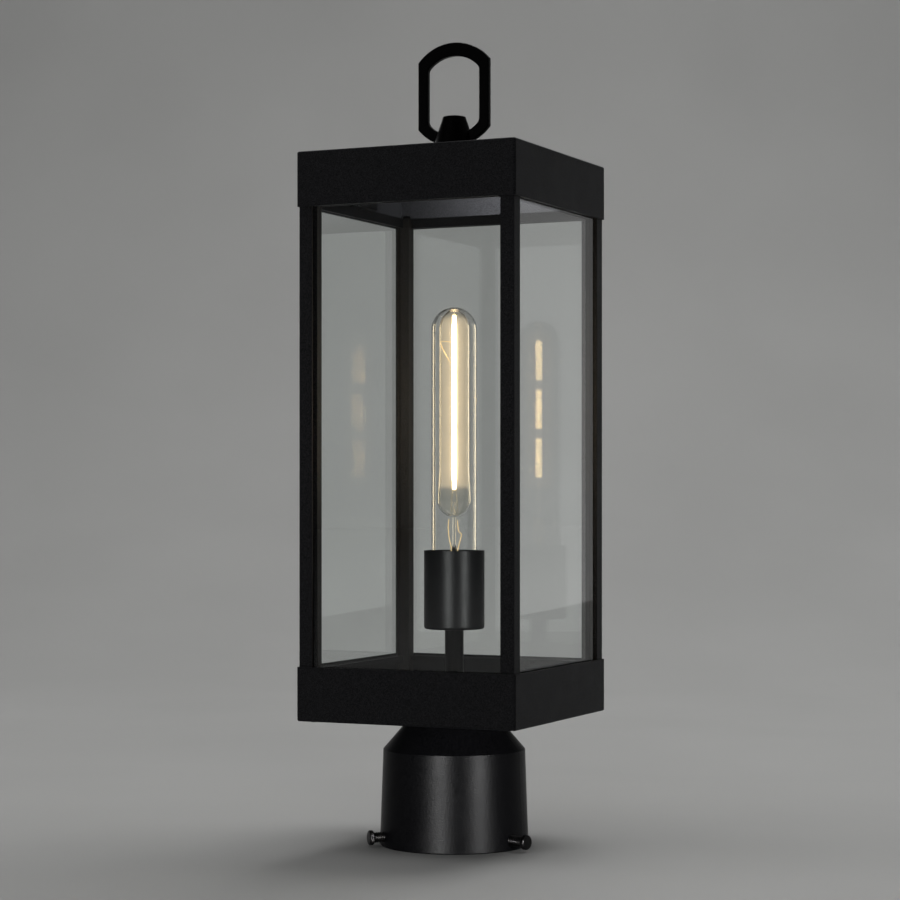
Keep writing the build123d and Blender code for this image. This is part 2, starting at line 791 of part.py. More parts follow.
# --- Lamp: outer tube with a domed top ---
def glass_outline(inset):
    """Half section of the outer tube as a solid rod, moved in from its outside by an inset."""
    tube = lamp_glass_radius - inset
    neck = neck_radius - inset
    shoulder_z = cap_shell_top_z + lamp_shoulder_height
    dome_z = glass_top_z - lamp_glass_radius
    with BuildSketch(Plane.XZ) as section:
        with BuildLine():
            Line((0, neck_bottom_z), (neck, neck_bottom_z))
            Line((neck, neck_bottom_z), (neck, cap_shell_top_z))
            Line((neck, cap_shell_top_z), (tube, shoulder_z))
            Line((tube, shoulder_z), (tube, dome_z))
            RadiusArc((tube, dome_z), (0, dome_z + tube), -tube)
            Line((0, dome_z + tube), (0, neck_bottom_z))
        make_face()
    return section.sketch


with BuildPart() as bulb_glass:
    revolve(glass_outline(0), axis=Axis.Z)
    revolve(glass_outline(lamp_glass_thickness), axis=Axis.Z, mode=Mode.SUBTRACT)
save(bulb_glass, "bulb_glass")


# --- Lamp: inner capsule, round and wider below, and drawn in to the tip above ---
def capsule_outline(inset):
    """Half section of the inner capsule as a solid, moved in from its outside by an inset."""
    bulge_z = inner_bottom_z + inner_tube_flare_radius
    straight_z = bulge_z + inner_tube_taper_height
    shoulder_z = inner_top_z - inner_tube_shoulder_drop
    top_z = inner_top_z - inset
    tube = inner_tube_radius - inset
    flare = inner_tube_flare_radius - inset
    tip = inner_tube_top_radius - inset
    bottom_z = bulge_z - flare
    with BuildSketch(Plane.XZ) as section:
        with BuildLine():
            RadiusArc((0, bottom_z), (flare, bulge_z), -flare)
            Line((flare, bulge_z), (tube, straight_z))
            Line((tube, straight_z), (tube, shoulder_z))
            TangentArc((tube, shoulder_z), (tip, top_z), tangent=(0, 1))
            Line((tip, top_z), (0, top_z))
            Line((0, top_z), (0, bottom_z))
        make_face()
    return section.sketch


with BuildPart() as bulb_inner_tube:
    revolve(capsule_outline(0), axis=Axis.Z)
    revolve(capsule_outline(inner_tube_wall), axis=Axis.Z, mode=Mode.SUBTRACT)
save(bulb_inner_tube, "bulb_inner_tube")

# --- Lamp: stem that rises from its flare in the neck to the capsule's point ---
with BuildPart() as bulb_stem:
    flare_bottom_z = neck_bottom_z
    press_bottom_z = flare_bottom_z + stem_flare_height
    stem_section = outline(
        Plane.XZ,
        [
            (0, flare_bottom_z),
            (flare_radius, flare_bottom_z),
            (stem_press_radius, press_bottom_z),
            (stem_press_radius, press_top_z),
            (stem_rod_radius, press_top_z + stem_press_taper),
            (stem_rod_radius, inner_bottom_z),
            (0, inner_bottom_z),
        ],
    )
    revolve(stem_section, axis=Axis.Z)
save(bulb_stem, "bulb_stem")

# --- Lamp: two glowing strips side by side, with a metal tab at each end ---
filament_right = Vector(cos(radians(filament_turn)), sin(radians(filament_turn)), 0)


def filament_level(height):
    """Horizontal plane whose local x runs across the two strips."""
    return Plane(origin=(0, 0, height), x_dir=filament_right, z_dir=UP)


with BuildPart() as bulb_filament:
    strip_offset = (filament_strip_width + filament_strip_gap) / 2
    with BuildSketch(filament_level(filament_z)):
        with Locations((-strip_offset, 0), (strip_offset, 0)):
            Rectangle(filament_strip_width, filament_strip_thickness)
    extrude(amount=filament_length)
    for tab_z, tab_length in (
        (filament_z - filament_bottom_tab, filament_bottom_tab + filament_tab_overlap),
        (filament_z + filament_length - filament_tab_overlap, filament_top_tab + filament_tab_overlap),
    ):
        with BuildSketch(filament_level(tab_z)):
            Rectangle(filament_tab_width, filament_tab_thickness)
        extrude(amount=tab_length)
save(bulb_filament, "bulb_filament")

# --- Lamp: the filament's post in the capsule, and bent lead wires beside the stem under it ---
lead_plane = Plane(origin=(0, 0, cup_rim_z), x_dir=filament_right, z_dir=filament_right.cross(UP))
lead_side = stem_press_radius + lead_wire_radius + lead_wire_gap
lead_routes = (
    [(-3.2, 19.0), (-3.6, 12.0), (-lead_side, 4.5)],
    [(1.9, 18.2), (2.6, 11.2), (4.4, 9.4), (lead_side, 2.8)],
)
with BuildPart() as bulb_wires:
    for route in lead_routes:
        with BuildLine(lead_plane) as lead_path:
            FilletPolyline(*route, radius=lead_bend_radius)
        with BuildSketch(Plane(origin=lead_path.line @ 0, z_dir=lead_path.line % 0)):
            Circle(lead_wire_radius)
        sweep(path=lead_path.line)
    post_bottom_z = inner_bottom_z + inner_tube_wall + lead_post_radius + lead_wire_gap
    with BuildSketch(level(post_bottom_z)):
        Circle(lead_post_radius)
    extrude(amount=filament_z - filament_bottom_tab - post_bottom_z)
save(bulb_wires, "bulb_wires")
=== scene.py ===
# %% [markdown]
# # A square post top lantern, dressed in Blender
#
# The lantern is a black square box of clear panes between two folded trays. A cast collar below
# slips over a round lamp post, a cast boss with a carrying loop crowns the cap, and one clear
# tubular lamp glows in a round cup in the middle.
#
# The CAD model gives every part its true size and place. This script loads it as a fixed frame,
# gives each part its real finish, and adds what CAD leaves plain: screw threads and driver
# recesses, drawn lamp glass, the glowing strips and the fine wires.

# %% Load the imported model
from math import cos, pi, radians, sin

import bmesh
import bpy
import numpy as np
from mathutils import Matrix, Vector


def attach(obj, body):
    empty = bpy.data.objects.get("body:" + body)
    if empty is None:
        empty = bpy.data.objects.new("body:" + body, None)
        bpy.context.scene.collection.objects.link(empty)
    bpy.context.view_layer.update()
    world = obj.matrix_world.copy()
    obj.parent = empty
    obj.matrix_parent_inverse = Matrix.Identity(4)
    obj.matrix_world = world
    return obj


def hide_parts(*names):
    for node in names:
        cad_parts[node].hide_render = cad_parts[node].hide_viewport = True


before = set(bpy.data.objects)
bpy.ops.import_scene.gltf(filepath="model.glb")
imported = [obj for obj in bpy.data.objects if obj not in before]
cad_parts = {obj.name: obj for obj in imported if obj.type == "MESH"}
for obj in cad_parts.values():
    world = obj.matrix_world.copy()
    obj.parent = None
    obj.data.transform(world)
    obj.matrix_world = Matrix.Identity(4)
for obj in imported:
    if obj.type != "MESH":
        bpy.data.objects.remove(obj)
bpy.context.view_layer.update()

MM = 0.001
print("CAD nodes:", len(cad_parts))

# %% [markdown]
# ## The camera
#
# The photograph is taken level, from a little to the right of the wide face. A camera can be
# matched by eye, but two facts settle it better: upright edges stay parallel, so the camera looks
# level, and the picture is moved up with the lens shift instead of a tilt. The rest is where the
# eight corners of the cap and the base fall in the picture.

# %% Camera
SENSOR_WIDTH = 36
TURN = radians(24.8)
away = Vector((sin(TURN), -cos(TURN), 0))
rightward = Vector((cos(TURN), sin(TURN), 0))
PICTURE = 900
FOCAL_PIXELS = 2371.4
DISTANCE = 1.4261
AXIS_OFFSET = 0.00256
EYE_HEIGHT = 0.2131
HORIZON_BELOW_MIDDLE = 39.14

camera_data = bpy.data.cameras.new("camera")
camera_data.sensor_width = SENSOR_WIDTH
camera_data.lens = FOCAL_PIXELS / PICTURE * SENSOR_WIDTH
camera_data.shift_y = HORIZON_BELOW_MIDDLE / PICTURE
camera_data.clip_start = 0.01
camera = bpy.data.objects.new("camera", camera_data)
camera.location = away * DISTANCE - rightward * AXIS_OFFSET + Vector((0, 0, EYE_HEIGHT))
camera.rotation_euler = (radians(90), 0, TURN)
bpy.context.scene.collection.objects.link(camera)
bpy.context.scene.camera = camera
print("lens", round(camera_data.lens, 1), "mm, shift", round(camera_data.shift_y, 4))

# %% [markdown]
# ## Surfaces from arrays
#
# Every new piece here is a grid of points worked out at once with numpy. One direction of the grid
# runs along a profile or a path, and the other runs around it. `closed_skin` turns such grids into
# a skin: neighbouring points make a quad, doubled points at seams and poles are merged so that it
# is closed, and its faces are turned outwards. Only a rim that lies inside the piece may stay open.
# A bubble inside glass is a skin of its own, and its faces must look into the bubble, or the glass
# shader takes the whole piece for a solid bar.
#
# Sizes of pieces are millimetres here, and `closed_skin` makes them metres.

# %% Helpers for grids
MERGE_WITHIN = 0.0005


def closed_skin(grids, inwards):
    """Vertices in metres and merged faces from grids of points in millimetres, rows x columns x 3."""
    points, quads, first = [], [], 0
    for grid in grids:
        rows, columns = grid.shape[:2]
        index = first + np.arange(rows * columns).reshape(rows, columns)
        corners = [index[:-1, :-1], index[:-1, 1:], index[1:, 1:], index[1:, :-1]]
        quads.append(np.stack(corners, -1).reshape(-1, 4))
        points.append(grid.reshape(-1, 3) * MM)
        first += rows * columns
    mesh = bpy.data.meshes.new("skin")
    mesh.from_pydata(np.concatenate(points).tolist(), [], np.concatenate(quads).tolist())
    work = bmesh.new()
    work.from_mesh(mesh)
    bmesh.ops.remove_doubles(work, verts=work.verts, dist=MERGE_WITHIN * MM)
    bmesh.ops.recalc_face_normals(work, faces=work.faces)
    if inwards:
        bmesh.ops.reverse_faces(work, faces=work.faces)
    work.to_mesh(mesh)
    work.free()
    return mesh


def make_piece(name, *grids, cavities=(), sharp_angle=38):
    """A mesh object from grids that close into a skin, and from grids that close into bubbles in it."""
    whole = bmesh.new()
    for group, inwards in ((grids, False), (cavities, True)):
        if group:
            skin = closed_skin(group, inwards)
            whole.from_mesh(skin)
            bpy.data.meshes.remove(skin)
    mesh = bpy.data.meshes.new(name)
    whole.to_mesh(mesh)
    whole.free()
    mesh.shade_smooth()
    mesh.set_sharp_from_angle(angle=radians(sharp_angle))
    piece = bpy.data.objects.new(name, mesh)
    bpy.context.scene.collection.objects.link(piece)
    print(f"{name}: {len(mesh.polygons)} faces")
    return piece


def around(columns):
    """Angles of a full turn, with the first repeated at the end."""
    return np.linspace(0, 2 * pi, columns + 1)


def lathe(profile, columns=64):
    """Turn a profile of (radius, height) about Z: x = r cos a, y = r sin a, z = height."""
    radius, height = np.array(profile, float).T[:, :, None]
    angle = around(columns)
    return np.stack([radius * np.cos(angle), radius * np.sin(angle), height + 0 * angle], -1)


def arc(centre_r, centre_z, radius, start, end, steps=12):
    """Profile points on a circle: centre + radius (cos t, sin t), t in degrees."""
    t = np.radians(np.linspace(start, end, steps + 1))
    return list(zip(centre_r + radius * np.cos(t), centre_z + radius * np.sin(t)))


def straight(start, end, steps):
    """Profile points evenly spaced on a line."""
    return list(zip(np.linspace(start[0], end[0], steps + 1), np.linspace(start[1], end[1], steps + 1)))


def aim(grid, origin, direction):
    """Turn a grid made along +Z so that it points in a direction, and move it to an origin."""
    turn = Vector((0, 0, 1)).rotation_difference(Vector(direction)).to_matrix()
    return grid @ np.array(turn).T + np.array(origin, float)


def finish_piece(piece, body, material, slot, *nodes):
    """Give a piece its finish, its body and the CAD nodes it stands for."""
    piece.data.materials.append(material)
    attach(piece, body)
    if nodes:
        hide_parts(*nodes)
    return piece


# %% [markdown]
# ## Finishes from nodes
#
# A finish is a small network of nodes that is read in Object coordinates, which are metres on
# the object itself, so a grain of half a millimetre needs a scale of about 2000. `Finish` only
# saves typing: it adds a node, sets its sockets, and links what it is given.

# %% Helper for materials
class Finish:
    """A node material that is written as a list of nodes."""

    def __init__(self, name):
        self.material = bpy.data.materials.new(name)
        self.material.use_nodes = True
        self.tree = self.material.node_tree
        self.tree.nodes.clear()
        self.place = self.add("TexCoord").outputs["Object"]

    def add(self, kind, values=None, **settings):
        """Add a node, apply its settings, and fill or link its sockets by name or number."""
        node = self.tree.nodes.new("ShaderNode" + kind)
        for key, value in settings.items():
            setattr(node, key, value)
        for key, value in (values or {}).items():
            if isinstance(value, bpy.types.NodeSocket):
                self.tree.links.new(value, node.inputs[key])
            else:
                node.inputs[key].default_value = value
        return node

    def noise(self, scale, detail=2.0, roughness=0.5, place=None):
        """Cloudy values from 0 to 1 with features about 1/scale metres wide."""
        sockets = {"Vector": place or self.place, "Scale": scale, "Detail": detail, "Roughness": roughness}
        return self.add("TexNoise", sockets).outputs[0]

    def grains(self, scale, smooth=0.6):
        """Rounded cells about 1/scale metres wide, from 0 in each middle."""
        sockets = {"Vector": self.place, "Scale": scale, "Smoothness": smooth}
        return self.add("TexVoronoi", sockets, feature="SMOOTH_F1").outputs[0]

    def spread(self, value, low, high, from_low=0.3, from_high=0.7):
        """Stretch a value's middle range to run from low to high."""
        sockets = {0: value, "From Min": from_low, "From Max": from_high, "To Min": low, "To Max": high}
        return self.add("MapRange", sockets).outputs[0]

    def blend(self, share, first, second):
        """Mix two colours by a share."""
        return self.add("Mix", {0: share, 6: (*first, 1), 7: (*second, 1)}, data_type="RGBA").outputs[2]

    def bump(self, height, distance, strength=1.0, normal=None):
        """Raise a surface by a height from 0 to 1, times a distance in metres."""
        values = {"Height": height, "Distance": distance, "Strength": strength}
        if normal is not None:
            values["Normal"] = normal
        return self.add("Bump", values).outputs[0]

    def plus(self, first, second, operation="ADD"):
        """Add, or otherwise combine, two numbers."""
        return self.add("Math", {0: first, 1: second}, operation=operation).outputs[0]

    def shade(self, **values):
        """The finished surface as one Principled shader."""
        sockets = {key.replace("_", " "): value for key, value in values.items()}
        return self.output(self.add("BsdfPrincipled", sockets).outputs[0])

    def output(self, surface):
        """Send a shader to the surface output, and return the material."""
        self.add("OutputMaterial", {"Surface": surface})
        return self.material


def wear(material, *names):
    """Put a material in the slots of CAD nodes."""
    for name in names:
        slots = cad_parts[name].data.materials
        slots.clear()
        slots.append(material)


# %% [markdown]
# ## Black powder coat on sheet and extrusions
#
# The trays, posts, rails and bridge are sprayed with dry black powder and baked. The coat is satin
# and very finely pebbled, so it spreads highlights into soft bands. It could be a plain rough
# black, but then flat faces look like plastic film: a fine grain in the bump and in the colour
# breaks the light up, and slow clouds in the roughness keep a long flat face from looking empty.
# A sharp sheet edge holds a rounded bead of powder, which the Bevel node gives to its shading.

# %% Powder coat on the frame
def powder_coat(name, dark, light, grain_scale, grain_height, smooth, rough, edge, gloss):
    """Satin pebbled coat: two grains added in the bump, speckled colour, clouds in the roughness."""
    coat = Finish(name)
    clouds = coat.noise(38, detail=4, roughness=0.6)
    fine = coat.noise(grain_scale, detail=3, roughness=0.7)
    pebbles = coat.grains(grain_scale, smooth)
    grain = coat.plus(coat.plus(pebbles, 0.35, "MULTIPLY"), fine)
    rounded = coat.add("Bevel", {"Radius": edge}, samples=4).outputs[0]
    colour = coat.blend(coat.spread(fine, 0.0, 1.0, from_low=0.35), dark, light)
    roughness = coat.plus(coat.spread(clouds, *rough), coat.spread(fine, -0.05, 0.06))
    return coat.shade(
        Base_Color=colour,
        Roughness=roughness,
        Specular_IOR_Level=gloss,
        Normal=coat.bump(grain, grain_height, 1.0, rounded),
    )


frame_coat = powder_coat(
    "frame_powder_coat", dark=(0.008, 0.008, 0.009), light=(0.044, 0.044, 0.048), grain_scale=1900,
    grain_height=0.07 * MM, smooth=0.8, rough=(0.38, 0.46), edge=0.35 * MM, gloss=0.05,
)
frame_nodes = [
    "base_tray", "cap_tray", "cap_bridge",
    *(f"corner_post_{end}_{side}" for end in ("front", "back") for side in ("left", "right")),
    *(f"{level}_rail_{side}" for level in ("top", "bottom") for side in ("front", "back", "left", "right")),
]
wear(frame_coat, *frame_nodes)
print("powder coat on", len(frame_nodes), "frame parts")

# %% [markdown]
# ## Sand-textured coat on the castings
#
# The collar and the loop are cast, and their coat is thicker, coarser and deeper black: in the
# photograph its grain can be counted. The same recipe serves, with larger pebbles and more height.
# The cup and its stem show the same soft highlights as the collar, so they wear it too.

# %% Powder coat on the castings
cast_coat = powder_coat(
    "casting_powder_coat", dark=(0.0002, 0.0002, 0.0003), light=(0.0018, 0.0018, 0.002), grain_scale=1250,
    grain_height=0.10 * MM, smooth=0.6, rough=(0.30, 0.35), edge=0.4 * MM, gloss=0.04,
)
cast_nodes = ["post_collar", "finial", "socket_cup", "stem_tube"]
wear(cast_coat, *cast_nodes)
print("casting coat on", ", ".join(cast_nodes))

# %% [markdown]
# ## Metals
#
# Inside are bright zinc-plated screws and nuts, a brass holder and a nickelled lamp cap. Metal
# shows its surroundings, so what makes it real is uneven gloss: clouds where it was handled, and
# a fine grain from rolling or tumbling. One recipe with other colours serves them all. The gilt
# wires stand in the lamp's own light, which would need many bounces through glass to reach them,
# so that light is painted on them instead, as a weak warm glow.

# %% Metal finishes
def metal(name, dark, light, rough, grain_scale, grain_height, painted_lamp_glow=0.0):
    """Bare or plated metal: clouded colour and gloss over a fine grain, and perhaps a painted glow for a
    lamp's light.
    """
    finish = Finish(name)
    clouds = finish.noise(260, detail=5, roughness=0.65)
    grain = finish.noise(grain_scale, detail=3, roughness=0.6)
    return finish.shade(
        Base_Color=finish.blend(finish.spread(clouds, 0, 1), dark, light),
        Metallic=1.0,
        Roughness=finish.spread(clouds, *rough),
        Normal=finish.bump(grain, grain_height, 0.5),
        Emission_Color=(1.0, 0.74, 0.38, 1),
        Emission_Strength=painted_lamp_glow,
    )


zinc = metal("zinc_plated_steel", (0.50, 0.52, 0.56), (0.72, 0.73, 0.75), (0.24, 0.40), 2600, 0.01 * MM)
brass = metal("holder_brass", (0.60, 0.43, 0.17), (0.83, 0.66, 0.33), (0.22, 0.38), 2200, 0.01 * MM)
nickel = metal("lamp_cap_nickel", (0.62, 0.61, 0.58), (0.82, 0.81, 0.78), (0.16, 0.30), 1800, 0.008 * MM)
# The gilt wires carry painted light: a weak warm emission stands for the lamp's light falling on them.
wire_metal = metal(
    "gilt_wire", (0.66, 0.48, 0.24), (0.86, 0.70, 0.42), (0.18, 0.30), 3000, 0.004 * MM, painted_lamp_glow=0.75
)
black_steel = metal(
    "blackened_steel", (0.008, 0.008, 0.009), (0.022, 0.021, 0.020), (0.26, 0.42), 2600, 0.012 * MM
)
wear(zinc, "lampholder_bracket")
wear(brass, "lampholder_contact")
print("metals:", ", ".join(each.name for each in (zinc, brass, nickel, wire_metal, black_steel)))

# %% [markdown]
# ## The insulators
#
# The lampholder's body is unglazed moulded ceramic, pale and slightly dusty with tiny pores. The
# lamp's own insulator is a ring of dark fused glass, smooth and glossy with a purple cast.

# %% Ceramic and dark glass
ceramic = Finish("holder_ceramic")
pores = ceramic.spread(ceramic.grains(900, smooth=0.3), 0, 1, from_low=0.05, from_high=0.35)
dust = ceramic.noise(120, detail=4, roughness=0.6)
ceramic_body = ceramic.shade(
    Base_Color=ceramic.blend(ceramic.spread(dust, 0, 1), (0.62, 0.59, 0.52), (0.80, 0.77, 0.70)),
    Roughness=ceramic.spread(dust, 0.55, 0.75),
    Normal=ceramic.bump(pores, 0.05 * MM, 0.5),
)
wear(ceramic_body, "lampholder_body")

fused = Finish("lamp_dark_glass")
swirl = fused.noise(300, detail=4, roughness=0.55)
dark_glass = fused.shade(
    Base_Color=fused.blend(fused.spread(swirl, 0, 1), (0.012, 0.009, 0.018), (0.04, 0.03, 0.055)),
    Roughness=fused.spread(swirl, 0.06, 0.2),
    Normal=fused.bump(swirl, 0.03 * MM, 0.5),
)
wear(dark_glass, "bulb_cap_insulator")
print("insulators:", ceramic_body.name, "and", dark_glass.name)

# %% [markdown]
# ## Clear panes
#
# A flat pane hardly bends what is behind it: it lets most light straight through and mirrors a
# little, more at a slant. A full glass shader would do, but it also stops lamps from lighting
# what is behind the glass, and makes the picture grainy. So the pane mixes a Transparent shader
# with a mirror, and Fresnel gives each its share. On the way out of the glass it needs the inverse
# index, which Backfacing chooses. The mirrored strips of the lamp that show in the photograph come
# from just this. Faint wiping marks, long in height, change the mirror's sharpness.

# %% Pane glass
PANE_INDEX = 1.5

pane = Finish("pane_glass")
wipe_place = pane.add("Mapping", {"Vector": pane.place, "Scale": (1, 1, 0.35)}).outputs[0]
wipes = pane.noise(26, detail=5, roughness=0.65, place=wipe_place)
wiped = pane.spread(wipes, 0.0, 0.02, from_low=0.55, from_high=0.8)
mirror = pane.add("BsdfGlossy", {"Color": (1, 1, 1, 1), "Roughness": wiped}).outputs[0]
clear = pane.add("BsdfTransparent", {"Color": (0.975, 0.985, 0.98, 1)}).outputs[0]
leaving = pane.add("NewGeometry").outputs["Backfacing"]
bend = pane.add("MapRange", {0: leaving, "To Min": PANE_INDEX, "To Max": 1 / PANE_INDEX}).outputs[0]
share = pane.add("Fresnel", {"IOR": bend}).outputs[0]
pane_glass = pane.output(pane.add("MixShader", {0: share, 1: clear, 2: mirror}).outputs[0])
pane_nodes = [f"glass_pane_{side}" for side in ("front", "back", "left", "right")]
wear(pane_glass, *pane_nodes)
print("panes:", len(pane_nodes))

# %% [markdown]
# ## Lamp glass
#
# The lamp's glass is thin and curved, so it does bend light: that is what draws its bright and
# dark edges. It is real refracting glass here, drawn a little unevenly, as tube glass is. For
# shadow rays alone it turns transparent, so the strips inside still light the lantern. The inner
# capsule carries painted light beside the strips: a weak warm emission for the strips' light
# scattered in its glass, largest where the glass faces the eye and only between the strips' two
# ends. The sealed bead on top has a stronger painted glow.

# %% Lamp glass
STRIP_BOTTOM, STRIP_TOP = 217.7, 313.0
# Painted light in the capsule's glass: how far its glow reaches past the strips, and the bead's stronger
# glow.
PAINTED_GLOW_PAST_STRIPS, PAINTED_GLOW_ENDS = 2.0, 5.0
PAINTED_BEAD_GLOW = 9.0
PAINTED_BEAD_FROM, PAINTED_BEAD_FULL = 320.3, 321.0
LAMP_GLASS_INDEX = 1.47


def drawn_glass(name, tint, ripple, painted_glow=0.0):
    """Thin glass that bends light, lets lamps shine through, and may carry a faint painted glow beside the
    strips.
    """
    glass = Finish(name)
    long_place = glass.add("Mapping", {"Vector": glass.place, "Scale": (1, 1, 0.12)}).outputs[0]
    waves = glass.noise(160, place=long_place)
    shader = glass.add(
        "BsdfPrincipled",
        {
            "Base Color": (*tint, 1),
            "Roughness": glass.spread(waves, 0.0, 0.004),
            "IOR": LAMP_GLASS_INDEX,
            "Transmission Weight": 1.0,
            "Normal": glass.bump(waves, ripple, 0.5),
        },
    ).outputs[0]
    # Painted light: a warm emission beside the strips, strongest where the glass faces the eye, and more on
    # the bead.
    if painted_glow:
        height = glass.add("SeparateXYZ", {0: glass.place}).outputs["Z"]
        middle, half = (STRIP_TOP + STRIP_BOTTOM) / 2 * MM, (STRIP_TOP - STRIP_BOTTOM) / 2 * MM
        from_middle = glass.plus(glass.plus(height, middle, "SUBTRACT"), 0, "ABSOLUTE")
        beside = glass.spread(from_middle, 1.0, 0.0, half + PAINTED_GLOW_PAST_STRIPS * MM, half + PAINTED_GLOW_ENDS * MM)
        turned = glass.add("LayerWeight", {"Blend": 0.5}).outputs["Facing"]
        toward = glass.spread(turned, 1.0, 0.0, 0.0, 1.0)
        patchy = glass.spread(glass.noise(90), 0.9, 1.1)
        painted_scatter = glass.plus(glass.plus(beside, toward, "MULTIPLY"), patchy, "MULTIPLY")
        bead = glass.spread(height, 0.0, PAINTED_BEAD_GLOW, PAINTED_BEAD_FROM * MM, PAINTED_BEAD_FULL * MM)
        strength = glass.plus(glass.plus(painted_scatter, bead), painted_glow, "MULTIPLY")
        glow = glass.add("Emission", {"Color": (1.0, 0.74, 0.44, 1), "Strength": strength}).outputs[0]
        shader = glass.add("AddShader", {0: shader, 1: glow}).outputs[0]
    shadow = glass.add("LightPath").outputs["Is Shadow Ray"]
    open_way = glass.add("BsdfTransparent", {"Color": (0.97, 0.97, 0.96, 1)}).outputs[0]
    return glass.output(glass.add("MixShader", {0: shadow, 1: shader, 2: open_way}).outputs[0])


outer_glass = drawn_glass("lamp_outer_glass", (0.99, 0.99, 0.985), 0.002 * MM)
inner_glass = drawn_glass("lamp_inner_glass", (0.995, 0.985, 0.95), 0.001 * MM, painted_glow=0.09)
stem_glass = drawn_glass("lamp_stem_glass", (0.985, 0.99, 0.985), 0.01 * MM)
print("lamp glass:", outer_glass.name, inner_glass.name, stem_glass.name)

# %% [markdown]
# ## The outer tube
#
# The envelope is a drawn tube with a round top. Its neck is narrower, where it is cemented into
# the cap. The CAD node has the same profile with hard corners, and this one eases the shoulder
# as softened glass does. Both walls are in one closed profile, because glass needs a real
# thickness to bend light like glass.

# %% Outer tube of the lamp
NECK_RADIUS, TUBE_RADIUS, GLASS_WALL = 12.38, 13.66, 0.9
NECK_BOTTOM, NECK_TOP, SHOULDER_TOP, GLASS_TOP = 160.2, 169.2, 173.6, 322.58


def soft(s):
    """A smooth step from 0 to 1 that starts and ends level: 3s^2 - 2s^3."""
    return s * s * (3 - 2 * s)


def eased(start, end, steps=10):
    """Profile between two points that leaves and arrives upright: r follows 3s^2 - 2s^3."""
    s = np.linspace(0, 1, steps + 1)
    return list(zip(start[0] + (end[0] - start[0]) * soft(s), start[1] + (end[1] - start[1]) * s))


def tube_wall(inset):
    """The envelope's profile from the neck up to the middle of the dome, moved in by an inset."""
    neck, tube = NECK_RADIUS - inset, TUBE_RADIUS - inset
    dome_z = GLASS_TOP - TUBE_RADIUS
    return (
        straight((neck, NECK_BOTTOM), (neck, NECK_TOP), 3)
        + eased((neck, NECK_TOP), (tube, SHOULDER_TOP))[1:]
        + straight((tube, SHOULDER_TOP), (tube, dome_z), 24)[1:]
        + arc(0, dome_z, tube, 0, 90, 20)[1:]
    )


outside, inside = tube_wall(0), tube_wall(GLASS_WALL)
outer_tube = make_piece("lamp_outer_tube", lathe(outside + inside[::-1] + outside[:1], 96))
finish_piece(outer_tube, "bulb", outer_glass, "lamp_glass", "bulb_glass")

# %% [markdown]
# ## The inner capsule
#
# The glowing strips hang in a second, narrower glass: round and a little wider at the bottom,
# straight above, and drawn in to a sealed bead near the envelope's top. Its inside is a bubble.

# %% Inner capsule
CAPSULE_WALL = 0.6
CAPSULE_BOTTOM, FLARE_RADIUS, CAPSULE_RADIUS = 196.3, 10.15, 9.2
TAPER_HEIGHT, CAPSULE_SHOULDER, CAPSULE_TOP, BEAD_RADIUS = 20.0, 309.4, 321.3, 1.75


def capsule_wall(inset):
    """The capsule's profile from its lowest point up to its bead, moved in by an inset."""
    flare, tube = FLARE_RADIUS - inset, CAPSULE_RADIUS - inset
    flare_z = CAPSULE_BOTTOM + FLARE_RADIUS
    drop = CAPSULE_TOP - CAPSULE_SHOULDER - inset
    narrowing = tube - BEAD_RADIUS + inset
    bow = (narrowing**2 + drop**2) / (2 * narrowing)
    turn = np.degrees(np.arcsin(drop / bow))
    return (
        arc(0, flare_z, flare, -90, 0, 16)
        + eased((flare, flare_z), (tube, flare_z + TAPER_HEIGHT), 12)[1:]
        + straight((tube, flare_z + TAPER_HEIGHT), (tube, CAPSULE_SHOULDER), 16)[1:]
        + arc(tube - bow, CAPSULE_SHOULDER, bow, 0, turn, 14)[1:]
    )


capsule_outside = capsule_wall(0) + [(0.6 * BEAD_RADIUS, CAPSULE_TOP), (0, CAPSULE_TOP)]
capsule_inside = capsule_wall(CAPSULE_WALL) + [(0, CAPSULE_TOP - 2 * CAPSULE_WALL)]
capsule = make_piece("lamp_inner_capsule", lathe(capsule_outside, 80), cavities=[lathe(capsule_inside, 80)])
finish_piece(capsule, "bulb", inner_glass, "lamp_glass", "bulb_inner_tube")

# %% [markdown]
# ## The glass stem
#
# Under the capsule stands the stem: a flare that closes the neck, a pinched press where the wires
# are sealed in, and a thin rod up to the capsule. It is a loft of ovals: its width across the
# wires and its depth have a profile each.

# %% Stem
def oval_loft(heights, widths, depths, columns=48):
    """Ovals on top of each other: x = width cos a, y = depth sin a at each height."""
    angle = around(columns)
    level = np.array(heights, float)[:, None] + 0 * angle
    return np.stack([np.outer(widths, np.cos(angle)), np.outer(depths, np.sin(angle)), level], -1)


def across_camera(grid):
    """Turn a grid made across X so that it lies across the lamp's strips."""
    x, y, z = grid[..., 0], grid[..., 1], grid[..., 2]
    return np.stack([x * cos(TURN) - y * sin(TURN), x * sin(TURN) + y * cos(TURN), z], -1)


STEM_STEPS = np.array([
    # height, width, depth
    (160.3, 0.0, 0.0), (160.3, 11.2, 11.2), (161.2, 10.6, 10.6), (163.0, 6.6, 6.6), (165.2, 3.6, 3.4),
    (167.4, 2.4, 2.2), (170.0, 2.3, 1.8), (172.0, 2.3, 1.35), (174.6, 2.3, 1.2), (176.4, 2.1, 1.2),
    (177.6, 1.5, 1.15), (178.8, 1.02, 1.0), (180.5, 0.95, 0.95), (196.35, 0.95, 0.95), (196.35, 0.0, 0.0),
])
stem = make_piece("lamp_stem", across_camera(oval_loft(*STEM_STEPS.T)))
finish_piece(stem, "bulb", stem_glass, "lamp_glass", "bulb_stem")

